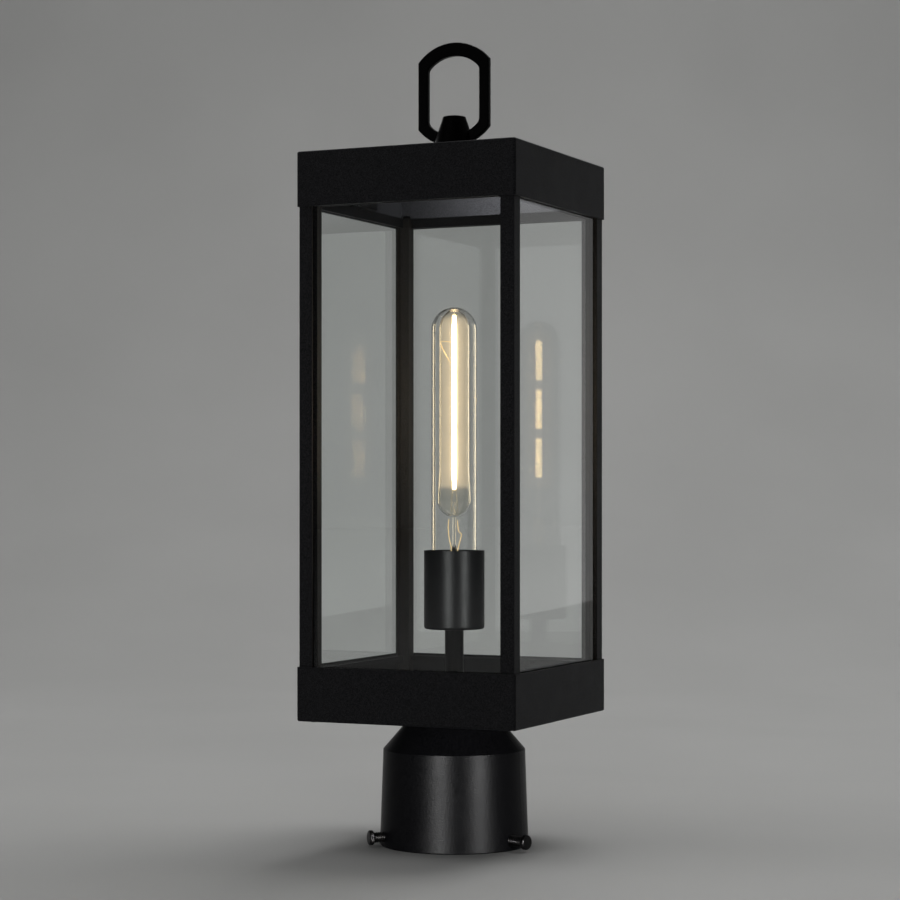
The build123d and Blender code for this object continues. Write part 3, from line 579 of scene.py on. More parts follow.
# %% [markdown]
# ## The glowing strips
#
# Two thin strips of light-emitting chips stand side by side under a pale phosphor. From the front
# they look like one even line. Their backs show three lit runs with dim joints between them, and
# that is what the panes mirror. A strip is a rounded bar: a loft of squared ovals, whose section
# swells very slightly over each run.
#
# The glow has two parts. Towards the front it is even: the share of it is how far a face looks to
# the front of the lamp, which is a fixed direction and not the camera's. Over the rest, each run
# is lit up to near its ends, which is a function of the height alone.
#
# The rows of a strip climb it, then climb it once more from near its foot. Where they coincide they
# are merged, and one long band between the two climbs is left over. It lies within a hundredth of
# a millimetre of the skin and glows like it, so it doesn't show.

# %% Strips as lofts
STRIP_WIDTH, STRIP_DEPTH, STRIP_GAP = 1.35, 0.8, 0.3
RUNS, SWELL = 3, 0.03
ROUND_END, SQUARENESS = 1.0, 0.4
ROW_SPAN = 96


def strip(side):
    """Squared oval section: x = w sign(cos) |cos|^0.4, y = d sign(sin) |sin|^0.4, with round ends."""
    near_end = 1 - np.cos(np.linspace(0, pi / 2, 6))
    between = np.linspace(1, ROW_SPAN - 1, 60)[1:-1]
    rows = np.concatenate([[0], near_end, between])
    share = np.concatenate([rows, (ROW_SPAN - rows)[::-1]]) / ROW_SPAN
    z = share * (STRIP_TOP - STRIP_BOTTOM) + STRIP_BOTTOM
    ends = np.clip(np.minimum(z - STRIP_BOTTOM, STRIP_TOP - z) / ROUND_END, 0, 1)
    swell = 1 - SWELL + SWELL * np.abs(np.sin(RUNS * pi * share))
    size = np.sqrt(np.clip(1 - (1 - ends) ** 2, 0, 1)) * swell
    angle = around(24)
    across, deep = [np.sign(f) * np.abs(f) ** SQUARENESS for f in (np.cos(angle), np.sin(angle))]
    x = np.outer(size, across) * STRIP_WIDTH / 2 + side * (STRIP_WIDTH + STRIP_GAP) / 2
    y = np.outer(size, deep) * STRIP_DEPTH / 2
    return across_camera(np.stack([x, y, z[:, None] + 0 * x], -1))


# %% Glow of the strips
STRIP_GLOW, RUN_GLOW, JOINT_GLOW = 12.0, 1.7, 0.004
RUN_EDGE = (0.37, 0.42)
FRONT_EDGE = (0.3, 0.7)

glow = Finish("filament_glow")
height = glow.add("SeparateXYZ", {0: glow.place}).outputs["Z"]
along = glow.spread(height, 0, RUNS, STRIP_BOTTOM * MM, STRIP_TOP * MM)
in_run = glow.plus(along, 1, "FRACT")
from_middle = glow.plus(glow.plus(in_run, 0.5, "SUBTRACT"), 0, "ABSOLUTE")
lit = glow.spread(from_middle, 1.0, 0.0, *RUN_EDGE)
normal = glow.add("NewGeometry").outputs["True Normal"]
to_front = glow.add("VectorMath", {0: normal, 1: tuple(away)}, operation="DOT_PRODUCT").outputs["Value"]
faces_front = glow.spread(to_front, 0.0, 1.0, *FRONT_EDGE)
brighter = glow.plus(glow.plus(lit, RUN_GLOW, "MULTIPLY"), faces_front, "MAXIMUM")
even = glow.plus(brighter, JOINT_GLOW, "MAXIMUM")
chips = glow.spread(glow.noise(700), 0.85, 1.15)
power = glow.plus(glow.plus(even, chips, "MULTIPLY"), STRIP_GLOW, "MULTIPLY")
filament_glow = glow.shade(
    Base_Color=glow.blend(lit, (0.82, 0.66, 0.32), (0.95, 0.83, 0.52)),
    Roughness=glow.spread(glow.noise(1500), 0.45, 0.65),
    Emission_Color=(1.0, 0.72, 0.36, 1),
    Emission_Strength=power,
    Normal=glow.bump(glow.noise(1800), 0.03 * MM, 0.5),
)
strips = make_piece("filament_strips", strip(-1), strip(1))
finish_piece(strips, "bulb", filament_glow, "filament_glow", "bulb_filament")

# %% [markdown]
# ## Tabs, leads and support
#
# Short flat tabs end the strips, and bent wires bring the current from the stem. A wire could be
# a curve with a bevel; here it is a ring carried along a smooth path, which gives the same tube as
# a plain mesh. The path bends through its points on a spline, and each ring stands square to it.
# Two thin support wires lie on the capsule's front. The tabs wear the strips' glow as painted light: they
# give none of their own and only catch the strips' light.

# %% Helpers for wires
def smooth_path(points, steps=10):
    """Catmull-Rom path: between two points, a cubic whose slopes come from the neighbours."""
    p = np.array(points, float)
    p = np.concatenate([[2 * p[0] - p[1]], p, [2 * p[-1] - p[-2]]])
    t = np.linspace(0, 1, steps, endpoint=False)[:, None, None]
    a, b, c, d = p[:-3], p[1:-2], p[2:-1], p[3:]
    slope, bow, twist = c - a, 2 * a - 5 * b + 4 * c - d, 3 * b - a - 3 * c + d
    curve = 0.5 * (2 * b + slope * t + bow * t**2 + twist * t**3)
    return np.concatenate([curve.transpose(1, 0, 2).reshape(-1, 3), p[-2:-1]])


def wire(points, radius, sides=12):
    """A ring carried along a smooth path: point + r (cos a first + sin a second), closed at its ends."""
    path = smooth_path(points)
    along = np.gradient(path, axis=0)
    along /= np.linalg.norm(along, axis=1, keepdims=True)
    first = np.cross(along, np.array(away))
    first /= np.linalg.norm(first, axis=1, keepdims=True)
    second = np.cross(along, first)
    reach = np.concatenate([[0, 0.8], np.ones(len(path) - 4), [0.8, 0]]) * radius
    angle = around(sides)
    ring = first[:, None] * np.cos(angle)[None, :, None] + second[:, None] * np.sin(angle)[None, :, None]
    return path[:, None] + ring * reach[:, None, None]


def lamp_points(points, forward=0.0):
    """Points given as (across the strips, height), set forward towards the front by so many mm."""
    return [
        (x * cos(TURN) + forward * sin(TURN), x * sin(TURN) - forward * cos(TURN), z) for x, z in points
    ]


def on_capsule(points, wire_radius):
    """Points given as (across, height), set on the capsule's front: forward = sqrt(r^2 - x^2)."""
    reach = CAPSULE_RADIUS + 0.9 * wire_radius
    return [lamp_points([(x, z)], (reach**2 - x**2) ** 0.5)[0] for x, z in points]


# %% Lead wires below the capsule and inside it
WIRE_RADIUS, THIN_WIRE_RADIUS = 0.3, 0.24

left_lead = lamp_points(
    [(-3.2, 195.3), (-3.6, 191.6), (-3.55, 188.3), (-3.0, 183.4), (-1.9, 178.4), (-1.6, 175.0)]
)
right_lead = lamp_points(
    [(1.9, 194.5), (2.2, 191.0), (2.6, 187.9), (4.1, 186.4), (4.3, 185.4), (3.2, 181.0), (1.8, 175.4)]
)
leads = make_piece("lead_wires", wire(left_lead, WIRE_RADIUS), wire(right_lead, WIRE_RADIUS))
finish_piece(leads, "bulb", wire_metal, "lead_metal", "bulb_wires")

inner_leads = [lamp_points([(x, 197.9), (x, 202.0), (x * 0.9, 207.0), (x * 0.4, 213.6)]) for x in (-1.7, 1.8)]
inner_wires = make_piece("capsule_wires", *(wire(points, THIN_WIRE_RADIUS, 8) for points in inner_leads))
finish_piece(inner_wires, "bulb", nickel, "lead_metal")

# %% Support wires on the capsule's front
support = [(-8.2, 301.6), (-7.4, 298.4), (-4.6, 292.4), (-2.2, 288.8), (0.0, 286.4)]
support_foot = [(-8.4, 301.5), (-7.0, 301.6), (-5.0, 301.4), (-1.4, 300.9)]
support_grids = [
    wire(on_capsule(points, THIN_WIRE_RADIUS), THIN_WIRE_RADIUS, 8) for points in (support, support_foot)
]
support_piece = make_piece("support_wires", *support_grids)
finish_piece(support_piece, "bulb", wire_metal, "lead_metal")

# %% Tabs at the strips' ends
TAB_HALF_WIDTH, TAB_HALF_DEPTH = 1.15, 0.2
TAB_BOTTOMS = (212.9, 312.0)

tab_rows = np.array([0.0, 0.0, 0.4, 5.4, 5.8, 5.8])
tab_size = np.array([0.0, 0.8, 1.0, 1.0, 0.8, 0.0])
tabs = [
    across_camera(oval_loft(tab_rows + bottom, tab_size * TAB_HALF_WIDTH, tab_size * TAB_HALF_DEPTH, 16))
    for bottom in TAB_BOTTOMS
]
# The tabs give no light of their own; the strips' glow on them is painted light.
tab_piece = make_piece("filament_tabs", *tabs)
finish_piece(tab_piece, "bulb", filament_glow, "filament_glow")

# %% [markdown]
# ## Screw threads
#
# A thread is a wave that climbs as it goes round: at angle a and height z its phase is
# z / pitch - a / (2 pi), and the radius rises and falls with it. One function gives every rod
# here; `ridge` decides whether the wave is a sharp V, as on machine screws, or the round roll of
# a lamp cap.

# %% Helpers for threads
def vee(phase):
    """Sharp thread: 1 at the crest and 0 at the root, on straight flanks cut flat at both."""
    return np.clip(np.abs(2 * (phase % 1) - 1) * 1.25 - 0.05, 0, 1)


def roll(phase):
    """Round thread: half of 1 + cos."""
    return 0.5 + 0.5 * np.cos(2 * pi * phase)


def threaded_wall(radius, depth, pitch, bottom, top, ridge=vee, lead_in=1.0, per_turn=8, columns=36):
    """Wall of radius r - depth (1 - ridge(z / pitch - a / 2 pi)), with the depth easing in at its ends."""
    rows = max(2, int(round((top - bottom) / pitch * per_turn)))
    z = np.linspace(bottom, top, rows + 1)[:, None]
    angle = around(columns)[None, :]
    phase = z / pitch - angle / (2 * pi)
    inside = np.clip(np.minimum(z - bottom, top - z) / (lead_in * pitch), 0, 1)
    r = radius - depth * (1 - ridge(phase) * inside)
    return np.stack([r * np.cos(angle), r * np.sin(angle), z + 0 * angle], -1)


def cap_row(grid, row):
    """Close an open end: rows that shrink from the grid's end row to its middle."""
    end = grid[row]
    middle = end.mean(0)
    shares = (0.0, 1.0) if row == 0 else (1.0, 0.0)
    return np.stack([middle + (end - middle) * share for share in shares])


def rod(*arguments, **settings):
    """A threaded wall with both ends closed."""
    wall = threaded_wall(*arguments, **settings)
    return [wall, cap_row(wall, 0), cap_row(wall, -1)]


# %% Cap stud and wiring nipple
STUD_RADIUS, STUD_THREAD, STUD_PITCH = 3.17, 0.62, 1.27
STUD_BOTTOM, STUD_TOP = 396.2, 418.25
stud_grids = rod(STUD_RADIUS, STUD_THREAD, STUD_PITCH, STUD_BOTTOM, STUD_TOP, per_turn=7)
stud = make_piece("threaded_stud", *stud_grids)
finish_piece(stud, "lantern", zinc, "zinc_steel", "cap_stud")

NIPPLE_RADIUS, NIPPLE_THREAD, NIPPLE_PITCH = 4.99, 0.42, 0.94
NIPPLE_BOTTOM, NIPPLE_TOP, NIPPLE_BORE, BORE_BEVEL = 72.65, 135.65, 3.6, 0.25
nipple_root = NIPPLE_RADIUS - NIPPLE_THREAD
nipple_outside = threaded_wall(
    NIPPLE_RADIUS, NIPPLE_THREAD, NIPPLE_PITCH, NIPPLE_BOTTOM, NIPPLE_TOP, per_turn=6, columns=32
)
nipple_bore = lathe(
    [
        (nipple_root, NIPPLE_TOP), (NIPPLE_BORE, NIPPLE_TOP - BORE_BEVEL),
        (NIPPLE_BORE, NIPPLE_BOTTOM + BORE_BEVEL), (nipple_root, NIPPLE_BOTTOM),
    ],
    32,
)
nipple = make_piece("threaded_nipple", nipple_outside, nipple_bore)
finish_piece(nipple, "lantern", zinc, "zinc_steel", "wiring_nipple")

# %% [markdown]
# ## Screws with driver recesses
#
# Each group of like screws is one piece. The head is turned from a rounded profile, and a cross
# is sunk in it: near the middle, a point's height drops where it lies within half an arm's width
# of either line of the cross. That is easier than cutting the cross with another body, and it
# leaves clean quads. The head is open underneath and the shank at its upper end, where they meet.

# %% Pan-head screws
FLAT_TOP, CORNER = 0.8, 0.45
CROSS_HALF_WIDTH, CROSS_REACH, CROSS_DEPTH = 0.11, 0.56, 0.62
SCREW_THREAD = 0.16


def pan_screw(shank, length, head, height, pitch):
    """One screw: seat at z = 0, head above with top z = height (1 - 0.045 (r / flat)^2) less the cross."""
    rho = np.concatenate([np.linspace(0, 0.62, 15), np.linspace(0.62, FLAT_TOP, 5)[1:]]) * head
    crown = arc(head - CORNER * height, (1 - CORNER) * height, CORNER * height, 62, 0, 5)
    crown_r, crown_z = np.array(crown).T
    radius = np.concatenate([rho, crown_r, [head, shank + 0.02]])
    dome = height * (1 - 0.045 * (rho / (FLAT_TOP * head)) ** 2)
    level = np.concatenate([dome, np.minimum(crown_z, dome[-1]), [0.0, 0.0]])
    angle = around(48)
    x, y = radius[:, None] * np.cos(angle), radius[:, None] * np.sin(angle)
    across = np.minimum(np.abs(x), np.abs(y)) / (CROSS_HALF_WIDTH * head)
    reach = np.hypot(x, y) / (CROSS_REACH * head)
    in_arms = np.clip(2.2 - 1.6 * across, 0, 1) * np.clip(6 * (1 - reach), 0, 1)
    sunk = in_arms * (1 - 0.45 * reach.clip(0, 1))
    on_top = np.arange(radius.size)[:, None] < rho.size
    z = level[:, None] - CROSS_DEPTH * height * sunk * on_top
    thread = SCREW_THREAD * shank
    shank_wall = threaded_wall(shank, thread, pitch, -length, 0.0, per_turn=5, columns=24, lead_in=0.7)
    return [np.stack([x, y, z], -1), shank_wall, cap_row(shank_wall, 0)]


def screw_group(name, node, points, seat, direction, sizes, material, slot):
    """A group of like screws on their points, heads up (1) or down (-1) from the seat's height."""
    grids = []
    for x, y in points:
        for grid in pan_screw(*sizes):
            grids.append(grid * (1, 1, direction) + (x, y, seat))
    return finish_piece(make_piece(name, *grids), "lantern", material, slot, node)


# %% The five groups of screws
def four_points(x, y):
    """A rectangle's corners, half its size away from the middle."""
    return [(x * right, y * back) for right in (-1, 1) for back in (-1, 1)]


SCREW_CIRCLE = 18.5
circle = [(SCREW_CIRCLE * cos(radians(t)), SCREW_CIRCLE * sin(radians(t))) for t in (0, 120, 240)]
corners = four_points(61.725, 61.725)
bridge_ends = four_points(66.0, 7.0)
holder_ears = [(-10.4, 0), (10.4, 0)]
in_zinc, in_black = (zinc, "zinc_steel"), (black_steel, "black_screw")
SCREW_GROUPS = [
    # piece, CAD node, points, seat height, way up,
    # (shank radius, shank length, head radius, head height, pitch), finish
    ("collar_screw_set", "collar_screws", circle, 77.8, 1, (2.08, 4.95, 3.78, 2.28, 0.8), in_zinc),
    ("tray_screw_set", "post_screws_bottom", corners, 76.8, -1, (1.48, 9.95, 2.68, 0.68, 0.6), in_black),
    ("rail_screw_set", "post_screws_top", corners, 384.9, 1, (1.48, 9.95, 2.68, 1.78, 0.6), in_black),
    ("bridge_screw_set", "bridge_screws", bridge_ends, 386.4, 1, (1.23, 3.85, 2.28, 1.48, 0.5), in_zinc),
    ("holder_screw_set", "lampholder_screws", holder_ears, 140.9, 1, (1.48, 10.35, 2.38, 1.38, 0.6), in_zinc),
]
for *group, screw_finish in SCREW_GROUPS:
    screw_group(*group, *screw_finish)

# %% [markdown]
# ## Nuts
#
# A hex nut is a hexagon cut by two wide cones, which leave the curved lines near its corners. At
# each angle the hexagon's radius is its flat's distance over cos(angle from the flat's middle);
# the cones then limit it near the top and the bottom.

# %% Lock nuts
def hex_nut(bottom, thickness, across_flats, hole, columns=72):
    """r = min(flat / cos(a'), cone), with a' the angle from the nearest flat's middle."""
    angle = around(columns)
    from_flat = (angle + pi / 6) % (pi / 3) - pi / 6
    flat = across_flats / 2
    hexagon = flat / np.cos(from_flat)
    height = np.concatenate([[0, 0], np.linspace(0, 1, 13), [1, 1]]) * thickness
    edge = np.minimum(height, thickness - height)
    cone = flat * 0.97 + edge * 1.9
    r = np.minimum(hexagon[None, :], cone[:, None])
    r[0] = r[-1] = hole
    outside = np.stack([r * np.cos(angle), r * np.sin(angle), bottom + height[:, None] + 0 * r], -1)
    bore = lathe([(hole, bottom + thickness), (hole, bottom)], columns)
    return [outside, bore]


NUT_PAIRS = [
    # piece, CAD node, heights of the undersides, (thickness, across flats, hole radius)
    ("stud_lock_nuts", "stud_nuts", (397.7, 404.7), (5.5, 11.08, 3.25)),
    ("nipple_lock_nuts", "nipple_nuts", (73.8, 131.5), (3.0, 13.98, 5.08)),
]
for name, node, undersides, sizes in NUT_PAIRS:
    pair = [grid for underside in undersides for grid in hex_nut(underside, *sizes)]
    finish_piece(make_piece(name, *pair), "lantern", zinc, "zinc_steel", node)

# %% [markdown]
# ## Thumb screws in the collar
#
# Three blackened screws with small round heads clamp the post. Their heads are turned with a
# rounded rim and a bevelled back, and lightly grooved round the rim for the fingers. A screw is
# made upright on Z and then aimed outwards; it stands by its direction and by its tip's distance
# from the axis, which differs, because each is turned in by another amount.

# %% Thumb screws
SCREW_HEIGHT = 6.0
SHANK_LENGTH, SHANK_RADIUS, SHANK_THREAD, SHANK_PITCH = 11.1, 3.15, 0.58, 1.27
KNOB_RADIUS, KNOB_THICKNESS, KNOB_ROUNDING, KNOB_BACK = 4.5, 3.0, 0.95, 2.6
GROOVES, GROOVE_DEPTH = 48, 0.028
SCREWS = {
    # side: (degrees from the wide face's front, distance of the tip from the axis)
    "left": (-46.0, 39.85),
    "right": (74.0, 42.65),
    "back": (194.0, 41.05),
}


def thumb_screw(direction_degrees, tip):
    """Threaded shank, and a head whose rim is r (1 - depth (1 + cos(48 a)) / 2), aimed outwards."""
    outward = (sin(radians(direction_degrees)), -cos(radians(direction_degrees)), 0)
    columns = 3 * GROOVES
    shank = threaded_wall(SHANK_RADIUS, SHANK_THREAD, SHANK_PITCH, 0.0, SHANK_LENGTH, per_turn=10, columns=40)
    back, front, rim = SHANK_LENGTH, SHANK_LENGTH + KNOB_THICKNESS, KNOB_RADIUS - 0.05
    profile = (
        [(KNOB_BACK, back)]
        + straight((KNOB_BACK, back), (rim - 0.7, back), 3)[1:]
        + straight((rim - 0.7, back), (rim, back + 0.7), 4)[1:]
        + straight((rim, back + 0.7), (rim, back + 2.0), 5)[1:]
        + arc(rim - KNOB_ROUNDING, back + 2.0, KNOB_ROUNDING, 0, 90, 8)[1:]
        + straight((rim - KNOB_ROUNDING, back + 2.0 + KNOB_ROUNDING), (0, front), 8)[1:]
    )
    knob = lathe(profile, columns)
    radius = np.hypot(knob[..., 0], knob[..., 1])
    band = np.clip((radius - (KNOB_RADIUS - 0.4)) / 0.3, 0, 1)
    groove = 0.5 + 0.5 * np.cos(GROOVES * around(columns)[None, :])
    knob[..., :2] *= (1 - GROOVE_DEPTH * band * groove)[..., None]
    origin = np.array(outward) * tip + (0, 0, SCREW_HEIGHT)
    return [aim(grid, origin, outward) for grid in (shank, cap_row(shank, 0), knob)]


for side, (turned, tip_at) in SCREWS.items():
    screw = make_piece(f"thumb_screw_{side}_threaded", *thumb_screw(turned, tip_at))
    finish_piece(screw, f"screw_{side}", black_steel, "black_screw", f"thumb_screw_{side}")

# %% [markdown]
# ## Lamp cap and holder shell
#
# The lamp's cap and the shell it screws into are thin sheet with a rolled round thread. Lifted
# out, the lamp shows its cap above the cup. Each is a threaded wall outside and the same wall
# moved in by the sheet's thickness. The two threads keep clear of each other, because here the
# lamp lifts straight.

# %% Rolled threads
ROLL_PITCH, ROLL_RUN_OUT = 3.63, 1.6
SHELL_COLUMNS = 72


def rolled_shell(radius, depth, sheet, rows):
    """Sheet shell with r = radius - depth ease (1 - roll(z / pitch - a / 2 pi)) between two heights."""
    bottom, thread_bottom, thread_top, top = rows
    low = lathe(straight((radius, bottom), (radius, thread_bottom), 2), SHELL_COLUMNS)
    high = lathe(straight((radius, thread_top), (radius, top), 2), SHELL_COLUMNS)
    z = np.linspace(thread_bottom, thread_top, int((thread_top - thread_bottom) * 4))[:, None]
    angle = around(SHELL_COLUMNS)[None, :]
    ease = soft(np.clip(np.minimum(z - thread_bottom, thread_top - z) / ROLL_RUN_OUT, 0, 1))
    r = radius - depth * ease * (1 - roll(z / ROLL_PITCH - angle / (2 * pi)))
    wave = np.stack([r * np.cos(angle), r * np.sin(angle), z + 0 * angle], -1)
    outside = np.concatenate([low, wave[1:-1], high])
    inner = outside.copy()
    flat_radius = np.hypot(inner[..., 0], inner[..., 1])
    inner[..., :2] *= ((flat_radius - sheet) / flat_radius)[..., None]
    rim = np.stack([outside[-1], inner[-1]])
    foot = np.stack([inner[0], outside[0]])
    return [outside, rim, inner[::-1], foot]


# %% Cap, holder shell and contact
SHEET = 0.3
SOFT_THREAD_ANGLE = 50

cap_grids = rolled_shell(12.88, 0.5, SHEET, (148.2, 149.6, 160.0, 169.2))
lamp_cap = make_piece("lamp_cap_threaded", *cap_grids, sharp_angle=SOFT_THREAD_ANGLE)
finish_piece(lamp_cap, "bulb", nickel, "lamp_cap_metal", "bulb_cap_shell")

FLOOR_BOTTOM, FLOOR_TOP, FLOOR_HOLE, FLOOR_EDGE = 140.5, 140.8, 5.5, 13.5
shell = rolled_shell(13.68, 0.34, SHEET, (FLOOR_BOTTOM, 142.4, 165.4, 167.5))
ring = [
    (FLOOR_EDGE, FLOOR_BOTTOM), (FLOOR_HOLE, FLOOR_BOTTOM),
    (FLOOR_HOLE, FLOOR_TOP), (FLOOR_EDGE, FLOOR_TOP),
]
floor_ring = lathe(ring, SHELL_COLUMNS)
holder_shell = make_piece("holder_shell_threaded", *shell, floor_ring, sharp_angle=SOFT_THREAD_ANGLE)
finish_piece(holder_shell, "lantern", brass, "holder_brass", "lampholder_shell")

contact_face = [(0, 143.8), (2.6, 143.8), (3.6, 143.9)] + arc(4.1, 144.5, 0.68, -70, 0, 6)
contact_button = make_piece("lamp_contact_button", lathe(contact_face + [(4.78, 145.2), (0, 145.2)], 48))
finish_piece(contact_button, "bulb", nickel, "lamp_cap_metal", "bulb_cap_contact")

# %% [markdown]
# ## Floor and backdrop
#
# The lantern stands on its collar on a plain pale sweep: a floor that curves up into a wall, so
# no line crosses the picture. It is one profile pushed sideways, and it lies square to the camera.
# It reaches far to the sides and to the front, so that its edges are far away in other views.

# %% Pale paper
paper = Finish("pale_paper")
tooth = paper.noise(900, detail=3, roughness=0.6)
tone = paper.spread(paper.noise(3, detail=3), 0, 1)
pale_paper = paper.shade(
    Base_Color=paper.blend(tone, (0.37, 0.37, 0.363), (0.40, 0.40, 0.393)),
    Roughness=paper.spread(tooth, 0.75, 0.9),
    Normal=paper.bump(tooth, 0.03 * MM, 0.3),
)


# %% Sweep
def sweep_sheet(half_width, front_y, back_y, bend, top, columns=12):
    """Profile along the floor, round a quarter bend and up the wall, repeated across X."""
    t = np.radians(np.linspace(0, 90, 25))[1:]
    foot = back_y - bend
    y = np.concatenate([np.linspace(front_y, foot, 8), foot + bend * np.sin(t), [back_y]])[:, None]
    z = np.concatenate([np.zeros(8), bend - bend * np.cos(t), [top]])[:, None]
    x = np.linspace(-half_width, half_width, columns + 1)
    return np.stack([x + 0 * y, y + 0 * x, z + 0 * x], -1)


sheet = sweep_sheet(half_width=9000, front_y=-14000, back_y=2200, bend=1200, top=4200)
sweep = make_piece("sweep", across_camera(sheet))
if sweep.data.polygons[0].normal.z < 0:
    sweep.data.flip_normals()
sweep.data.materials.append(pale_paper)

# %% [markdown]
# ## Light
#
# Satin black shows mostly what it mirrors, so its look is set by a few panels and by where they
# stand. Clear glass would mirror the same panels as hard white shapes. Flags could hide a panel
# from the glass in a real studio; in Blender a light can be linked to the objects that it lights.
# So `only` lists them for each light, and all others ignore it.
#
# Each call of `softbox` gives, in metres, degrees and watts: the light's azimuth, its distance and
# height, its own width and height, its power, and the parts it lights.

# %% Helpers for lights
MIDDLE_HEIGHT = 0.24
WARM = (1.0, 0.80, 0.52)


def nodes(*names):
    """CAD objects by their names."""
    return [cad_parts[name] for name in names]


def light_only(light, parts):
    """Link a light to the parts that it may light."""
    lit = bpy.data.collections.new(f"lit_by_{light.name}")
    for part in parts:
        lit.objects.link(part)
    light.light_linking.receiver_collection = lit


def softbox(name, azimuth, distance, height, width, tall, watts, only=(), colour=(1, 1, 1)):
    """Area light at an azimuth from the wide face's front, turned towards the lantern's middle."""
    data = bpy.data.lights.new(name, "AREA")
    data.shape = "RECTANGLE"
    data.size, data.size_y = width, tall
    data.energy = watts
    data.color = colour
    light = bpy.data.objects.new(name, data)
    spot = Vector((sin(radians(azimuth)) * distance, -cos(radians(azimuth)) * distance, height))
    light.location = spot
    light.rotation_euler = (Vector((0, 0, MIDDLE_HEIGHT)) - spot).to_track_quat("-Z", "Y").to_euler()
    bpy.context.scene.collection.objects.link(light)
    if only:
        light_only(light, only)
    print(f"{name}: {watts} W at {azimuth} degrees")
    return light


# %% [markdown]
# ### Highlights and fills
#
# A strip of light near the camera and one further right draw the two soft upright highlights on
# the collar and the cup, and one behind does the same for the back. Weak broad fills lift the flat
# faces of the frame out of plain black.

# %% Strips and fills
screws = [bpy.data.objects[f"thumb_screw_{side}_threaded"] for side in SCREWS]
round_parts = nodes("post_collar", "socket_cup") + screws
flat_parts = nodes(*frame_nodes, "finial")
softbox("near_strip", 2, 2.1, 0.1, 0.10, 0.45, 150, round_parts)
softbox("right_strip", 64, 1.8, 0.1, 0.10, 0.45, 105, round_parts)
softbox("back_strip", 205, 2.0, 0.1, 0.12, 0.45, 130, round_parts + nodes("stem_tube"))
softbox("left_rear_fill", 240, 2.2, 0.5, 1.6, 1.4, 14, flat_parts)
softbox("face_fill", -25, 1.9, 0.25, 0.5, 0.9, 2.6, flat_parts)

# %% [markdown]
# ### Rims and veils
#
# Thin tubes are seen by their edges, so the lamp's envelope and its stem get light from both
# sides, warm on the envelope. A real pane carries a faint veil of the room's light. The back and
# the right pane mirror a broad weak panel each; the other two mirror none, because one in front
# would grey the cup. One more weak panel, behind at the right, gives the lantern's edges a line.

# %% Rims, veils and the rear panel
for rim, azimuth in (("left_rim", -112), ("right_rim", 162)):
    softbox(rim + "_tubes", azimuth, 1.5, 0.25, 0.3, 0.8, 2.4, [outer_tube], WARM)
    softbox(rim + "_stem", azimuth, 1.5, 0.25, 0.3, 0.8, 7, [stem])
softbox("back_pane_veil", -25, 2.0, 0.25, 1.0, 1.5, 3.6, nodes("glass_pane_back"))
softbox("right_pane_veil", 155, 2.0, 0.25, 0.9, 1.4, 1.1, nodes("glass_pane_right"))
lantern_parts = [part for part in bpy.data.objects if part.type == "MESH" and part is not sweep]
softbox("rear_right_panel", 155, 2.0, 0.25, 0.9, 1.4, 1.3, lantern_parts)

# %% [markdown]
# ### Light from above and on the paper
#
# Two soft lights overhead light everything and lay the soft shadow. Two very large ones are for
# the paper alone: one for the wall and the floor behind the lantern, and one that looks straight
# down for the floor on the camera's side, which the views from behind show.

# %% Overhead and paper lights
softbox("top_softbox", 165, 1.1, 2.4, 1.8, 1.4, 22)
softbox("front_top_softbox", -60, 0.8, 2.6, 1.6, 1.2, 11)
softbox("paper_light", 0, 1.5, 4.5, 5.0, 5.0, 20, [sweep])
near_paper_light = softbox("near_paper_light", 25, 6.0, 3.5, 6.0, 6.0, 60, [sweep])
near_paper_light.rotation_euler = (0, 0, 0)

# %% [markdown]
# ### What the lamp throws
#
# The strips are small and glow through two glasses, so few of a renderer's rays find them. Two
# weak lights stand for what they throw on metal nearby: a narrow one inside the cap that lights
# its back wall, and a warm point at the strips' middle for the insides of the corner posts. No eye
# or mirror sees the two.

# %% Lamp's throw
THROW_WATTS, THROW_SOFTNESS = 0.3, 0.01

cap_light = softbox("cap_light", 140, 0.022, 0.398, 0.06, 0.012, 0.15, nodes("cap_tray"))
cap_light.rotation_euler = (radians(90), 0, 0)

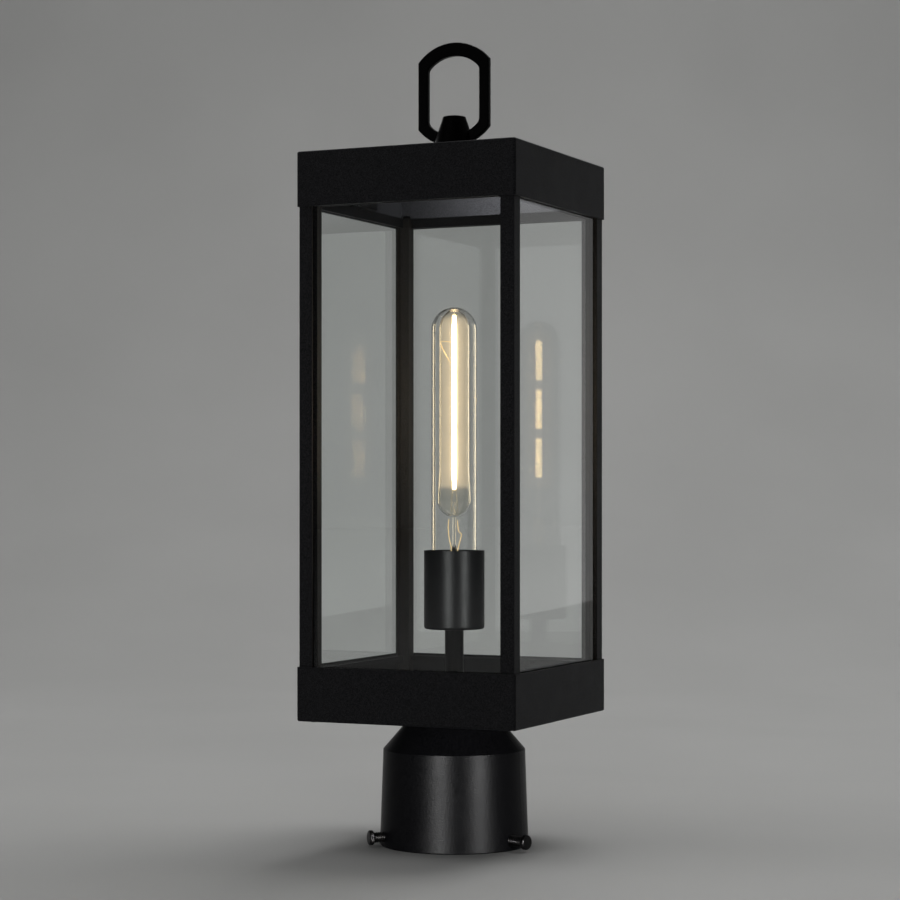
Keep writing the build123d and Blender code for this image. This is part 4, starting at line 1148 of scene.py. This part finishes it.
throw = bpy.data.lights.new("lamp_throw", "POINT")
throw.energy, throw.color, throw.shadow_soft_size = THROW_WATTS, WARM, THROW_SOFTNESS
throw.use_shadow = False
lamp_throw = bpy.data.objects.new("lamp_throw", throw)
lamp_throw.location = (0, 0, (STRIP_BOTTOM + STRIP_TOP) / 2 * MM)
bpy.context.scene.collection.objects.link(lamp_throw)
light_only(lamp_throw, nodes(*(name for name in frame_nodes if name.startswith("corner_post"))))
for light in (cap_light, lamp_throw):
    light.visible_camera = light.visible_glossy = light.visible_transmission = False
print("lamp's throw:", cap_light.name, "and", lamp_throw.name)

# %% [markdown]
# ## Bloom
#
# A camera's lens spreads a little of very bright light round it. A Glare node does that to the
# finished picture, and only for what is brighter than white, which is the strips.

# %% Bloom round the strips
scene = bpy.context.scene
scene.use_nodes = True
picture = scene.node_tree
picture.nodes.clear()
layer = picture.nodes.new("CompositorNodeRLayers")
halo = picture.nodes.new("CompositorNodeGlare")
halo.glare_type = "BLOOM"
for name, value in (("Threshold", 1.0), ("Strength", 0.3), ("Size", 0.02)):
    halo.inputs[name].default_value = value
result = picture.nodes.new("CompositorNodeComposite")
picture.links.new(layer.outputs["Image"], halo.inputs["Image"])
picture.links.new(halo.outputs["Image"], result.inputs["Image"])

print("bloom:", halo.glare_type)

# %% [markdown]
# ## The room beyond the paper
#
# A few views look past the paper. What the camera sees there is a pale wall, but satin black and
# glass must not mirror one as bright as that, so the world has two strengths, chosen by whether a
# ray comes straight from the camera.

# %% World
WALL_SEEN, WALL_MIRRORED = 0.2, 0.04

world = bpy.data.worlds.new("studio")
world.use_nodes = True
studio = world.node_tree
seen = studio.nodes.new("ShaderNodeLightPath").outputs["Is Camera Ray"]
wall = studio.nodes.new("ShaderNodeMapRange")
wall.inputs["To Min"].default_value, wall.inputs["To Max"].default_value = WALL_MIRRORED, WALL_SEEN
studio.links.new(seen, wall.inputs[0])
studio.links.new(wall.outputs[0], studio.nodes["Background"].inputs["Strength"])
studio.nodes["Background"].inputs["Color"].default_value = (0.95, 0.97, 1.0, 1)
scene.world = world
scene.view_settings.view_transform = "Standard"
print("world:", WALL_SEEN, "seen,", WALL_MIRRORED, "mirrored")
